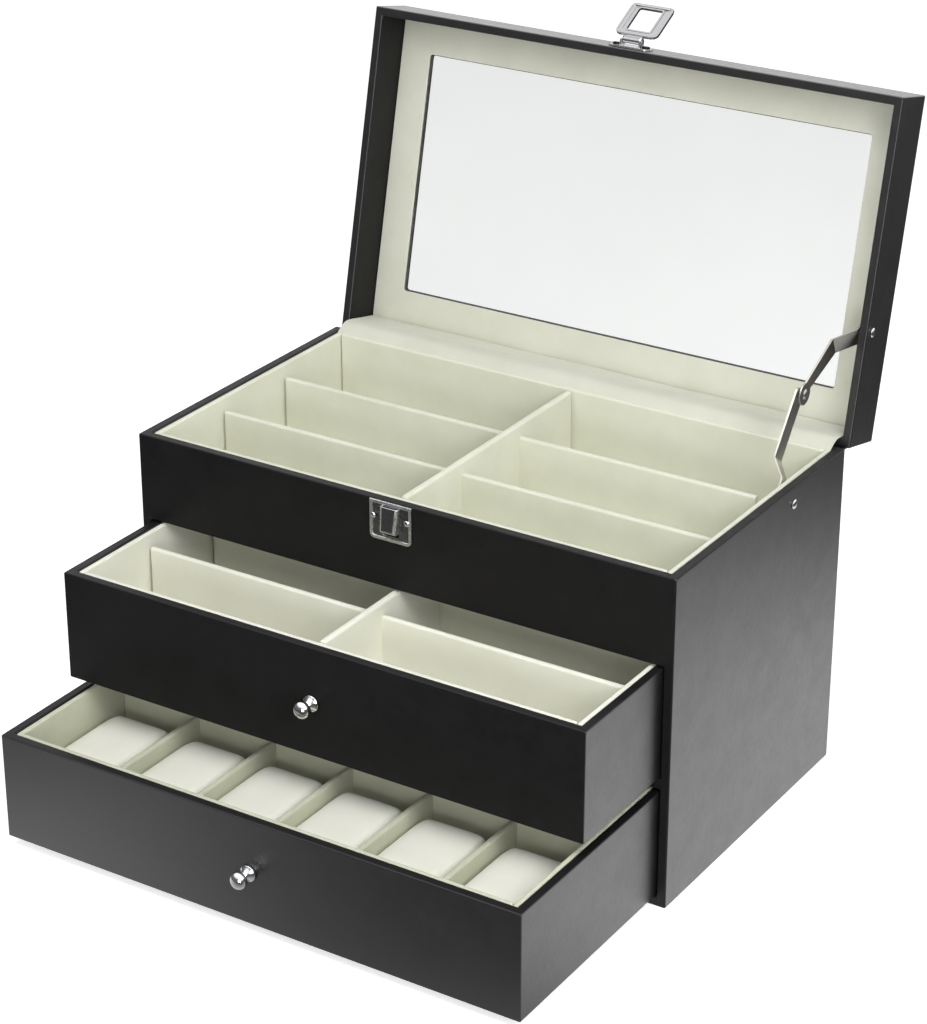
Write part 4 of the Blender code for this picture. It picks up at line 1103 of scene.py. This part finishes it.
def make_catch_tongue(high, middle, stand):
    """The hollow tongue, lying flat: it leans to its top and tapers to its foot."""
    low = Vector((middle - TONGUE_HALF_WIDTH, high.z - TONGUE_BOTTOM, PLATE_THICKNESS / 4))
    high = Vector((middle + TONGUE_HALF_WIDTH, high.z - TONGUE_TOP, stand))
    tongue = block("tongue", low, high)

    def pressed_edge(first, second):
        in_front = min(first.z, second.z) > high.z - HAIR
        at_the_top = min(first.y, second.y) > high.y - HAIR
        return in_front and not at_the_top

    bevel_edges(tongue, pressed_edge, TONGUE_CORNER, 7)
    sink(tongue, lambda centre, normal: normal.y > FACING, TONGUE_WALL, (0, -TONGUE_HOLLOW, 0))
    round_edges(tongue, 0.25 * MM, 2)
    for vertex in tongue.data.vertices:
        rise = (vertex.co.y - low.y) / (high.y - low.y)
        vertex.co.z = low.z + (vertex.co.z - low.z) * (1 - LEAN_SHARE * rise)
        vertex.co.x = middle + (vertex.co.x - middle) * (1 - TAPER_SHARE * (1 - rise))
    # The tongue's front face takes the hasp's darker chrome: painted shade on the catch's own chrome.
    paint_two(tongue, catch_chrome, hasp_chrome_and_tongue_shade, lambda centre, normal: normal.z > 0.97)
    return tongue


def make_catch():
    """The plate and its tongue, stood up against the fascia."""
    low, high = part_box("catch_plate")
    middle = (low.x + high.x) / 2
    plate = make_catch_plate(low, high, middle)
    tongue = make_catch_tongue(high, middle, high.y - low.y)
    catch = joined("catch_plate_pressed", [plate, tongue])
    catch.data.transform(Matrix.Translation((0, high.y, 0)) @ Matrix.Rotation(math.pi / 2, 4, "X"))
    return put(catch, None, "cabinet", "chrome", "catch_plate")


make_catch()

# %% [markdown]
# The hasp's loop is pressed from sheet: two broad rails, a cross bar at each
# end, and a far edge that is rolled over so that a finger can lift it. It is
# modelled lying flat with its pin at the origin, then hung from the pin and
# swung up to where it rests.

# %% The hasp's broad loop and its base's screws
LOOP_NEAR = 4 * MM
LOOP_REACH = 28.3 * MM
LOOP_HALF_WIDTH = 13.4 * MM
LOOP_HALF_THICKNESS = 0.85 * MM
LOOP_RAIL = 6 * MM
LOOP_NEAR_BAR = 3.6 * MM
LOOP_FAR_BAR = 3.2 * MM
LOOP_CORNER = 3.2 * MM
LOOP_RIM = 1.1 * MM
LOOP_SINK = 0.4 * MM
LIP_RADIUS = 1.35 * MM
LIP_LENGTH = 21.8 * MM
LIP_INSET = 1.2 * MM
BASE_PLATE = 1 * MM
SCREW_RADIUS = 2.3 * MM
SCREW_HEIGHT = 2.4 * MM
SCREW_APART = 9.2 * MM


def make_hasp_loop():
    """The pressed loop, over the thin one that the frame gives."""
    joint = joints["hasp_hinge"]
    low = Vector((-LOOP_HALF_WIDTH, -LOOP_REACH, -LOOP_HALF_THICKNESS))
    high = Vector((LOOP_HALF_WIDTH, -LOOP_NEAR, LOOP_HALF_THICKNESS))
    loop = block("hasp_loop_pressed", low, high)
    bevel_edges(loop, lambda first, second: abs(first.z - second.z) > HAIR, LOOP_CORNER, 6)
    window_low = Vector((low.x + LOOP_RAIL, low.y + LOOP_FAR_BAR, 0))
    window_high = Vector((high.x - LOOP_RAIL, high.y - LOOP_NEAR_BAR, 0))
    open_window(loop, window_low, window_high, 1.2 * MM)
    for side in (-1, 1):
        sink(loop, lambda centre, normal: normal.z * side > FACING, LOOP_RIM, (0, 0, -side * LOOP_SINK))
    round_edges(loop, 0.3 * MM, 2)
    lip = added(bpy.ops.mesh.primitive_cylinder_add, "hasp_lip", vertices=24, radius=LIP_RADIUS,
                depth=LIP_LENGTH, location=(0, LIP_INSET - LOOP_REACH, 0), rotation=(0, math.pi / 2, 0))
    round_edges(lip, 0.4 * MM, 3)
    loop = joined("hasp_loop_pressed", [loop, lip])
    swing = -(OPEN_ANGLE + math.radians(joint["range_deg"][1]))
    stand_up = Matrix.Rotation(math.pi / 2, 4, "X")
    loop.data.transform(Matrix.Translation(joint["pos_m"]) @ Matrix.Rotation(swing, 4, "X") @ stand_up)
    return put(loop, hasp_chrome_and_tongue_shade, "hasp", "chrome")


def make_hasp_screws():
    """Two dark screw heads that hold the base to the lid."""
    low, high = shut_box("hasp_base")
    plate_face = high.y - BASE_PLATE
    screws = []
    for side in (-1, 1):
        across = (low.x + high.x) / 2 + side * SCREW_APART
        place = (across, plate_face, (low.z + high.z) / 2)
        head = added(bpy.ops.mesh.primitive_cylinder_add, "hasp_screw", vertices=32, radius=SCREW_RADIUS,
                     depth=SCREW_HEIGHT, location=place, rotation=(math.pi / 2, 0, 0))
        sink(head, lambda centre, normal: normal.y < -FACING, 0.45 * MM, (0, 0.3 * MM, 0))
        screws.append(round_edges(head, 0.12 * MM, 2))
    return put(opened(joined("hasp_screws", screws)), near_black_screw, "lid", "chrome")


make_hasp_loop()
make_hasp_screws()

# %% [markdown]
# The floor and the light are those of a product studio. The camera sees the
# floor and the world as white, and the floor keeps the box's soft shadow. What
# the gloss of the leather shows is a glow painted on the floor for reflections
# only: a painted bright pool round the box that fades out further away, and a
# painted dark patch in front, which leaves the fronts black. So the floor's look
# in a reflection runs from bright to dark, while its colour under the lamps stays
# plain.

# %% The floor
def pool_node(tree, centre, near, far, at_near, at_far):
    """A value that runs from one number to another with the distance from a point."""
    place = tree.nodes.new("ShaderNodeNewGeometry").outputs["Position"]
    distance = new_node(tree, "VectorMath", {0: place, 1: centre}, operation="DISTANCE")
    return ramp_node(tree, distance.outputs["Value"], near, far, at_near, at_far)


def reflected_only(tree, paths):
    """1 for a ray that a surface has thrown back, and 0 for one that came through glass."""
    through = math_node(tree, "SUBTRACT", 1.0, paths.outputs["Is Transmission Ray"])
    return math_node(tree, "MULTIPLY", paths.outputs["Is Glossy Ray"], through)


REFLECTED_GLOW_POOL = {"centre": (0, 0.04, 0), "near": 0.24, "far": 0.58, "at_near": 1.15, "at_far": 0.08}
REFLECTED_DARK_PATCH = {"centre": (0.09, -0.37, 0), "near": 0.05, "far": 0.30, "at_near": 0.15, "at_far": 1.0}
SEEN_GLOW = 0.64
GLOW_THROUGH_GLASS = 0.38


def make_floor():
    """A wide pale floor, white to the camera apart from the shadow."""
    floor = added(bpy.ops.mesh.primitive_plane_add, "floor", size=12)
    material, tree, _ = new_material("studio floor")
    tree.nodes.clear()
    paths = tree.nodes.new("ShaderNodeLightPath")
    pools = math_node(tree, "MULTIPLY", pool_node(tree, **REFLECTED_GLOW_POOL), pool_node(tree, **REFLECTED_DARK_PATCH))
    direct = math_node(tree, "MULTIPLY", paths.outputs["Is Camera Ray"], SEEN_GLOW)
    through_glass = math_node(tree, "MULTIPLY", paths.outputs["Is Transmission Ray"], GLOW_THROUGH_GLASS)
    diffuse = new_node(tree, "BsdfDiffuse", {"Color": (0.8, 0.8, 0.8, 1)})
    glow = new_node(tree, "Emission", {"Strength": math_node(tree, "ADD", direct, through_glass)})
    both = new_node(tree, "AddShader", {0: diffuse.outputs[0], 1: glow.outputs[0]})
    # Seen only in reflections, the floor glows with a painted bright pool round the box and a painted dark
    # patch in front of it.
    reflected_glow = new_node(tree, "Emission", {"Strength": pools})
    choices = {0: reflected_only(tree, paths), 1: both.outputs[0], 2: reflected_glow.outputs[0]}
    look = new_node(tree, "MixShader", choices).outputs[0]
    new_node(tree, "OutputMaterial", {"Surface": look})
    floor.data.materials.append(material)
    return floor


make_floor()

# %% The world and the lamps
WORLD_LIGHT = 0.42
GLOSS_BELOW = 0.16
GLOSS_ABOVE = 1.6
GLOSS_BACKDROP = 1.3
SKY_EDGE = (0.35, 0.75)
BACKDROP_EDGE = (0.5, 0.8)


def make_world():
    """White behind the box, and an even light all round it."""
    world = bpy.data.worlds.new("studio")
    bpy.context.scene.world = world
    world.use_nodes = True
    tree = world.node_tree
    paths = tree.nodes.new("ShaderNodeLightPath")
    seen = math_node(tree, "MAXIMUM", paths.outputs["Is Camera Ray"], paths.outputs["Is Transmission Ray"])
    direct = math_node(tree, "MULTIPLY", seen, 1 - WORLD_LIGHT)
    outward = tree.nodes.new("ShaderNodeTexCoord").outputs["Generated"]
    direction = new_node(tree, "SeparateXYZ", {"Vector": outward})
    below = GLOSS_BELOW - WORLD_LIGHT
    above = ramp_node(tree, direction.outputs["Z"], *SKY_EDGE, below, GLOSS_ABOVE - WORLD_LIGHT)
    behind = ramp_node(tree, direction.outputs["Y"], *BACKDROP_EDGE, below, GLOSS_BACKDROP - WORLD_LIGHT)
    around = math_node(tree, "MAXIMUM", above, behind)
    gloss = math_node(tree, "MULTIPLY", reflected_only(tree, paths), around)
    extra = math_node(tree, "ADD", direct, gloss)
    strength = math_node(tree, "ADD", extra, WORLD_LIGHT)
    tree.links.new(strength, tree.nodes["Background"].inputs["Strength"])
    tree.nodes["Background"].inputs["Color"].default_value = (1, 1, 1, 1)


def add_lamp(name, place, aim, size, power):
    """A square soft lamp that faces a point."""
    bpy.ops.object.light_add(type="AREA", location=place)
    lamp = bpy.context.object
    lamp.name = name
    lamp.data.size = size
    lamp.data.energy = power
    lamp.visible_camera = False
    lamp.rotation_euler = (Vector(aim) - Vector(place)).to_track_quat("-Z", "Y").to_euler()
    return lamp


make_world()
add_lamp("overhead softbox", (0.0, -0.6, 1.9), (0, -0.1, 0.1), 1.4, 14)
add_lamp("front right softbox", (0.95, -0.65, 0.9), (0, -0.1, 0.1), 0.6, 8)
add_lamp("low front softbox", (0.5, -1.35, 0.3), (0, -0.2, 0.05), 0.6, 6)
add_lamp("right softbox", (1.5, 0.6, 0.7), (0, 0, 0.12), 1.0, 3)
bpy.context.scene.view_settings.view_transform = "Standard"
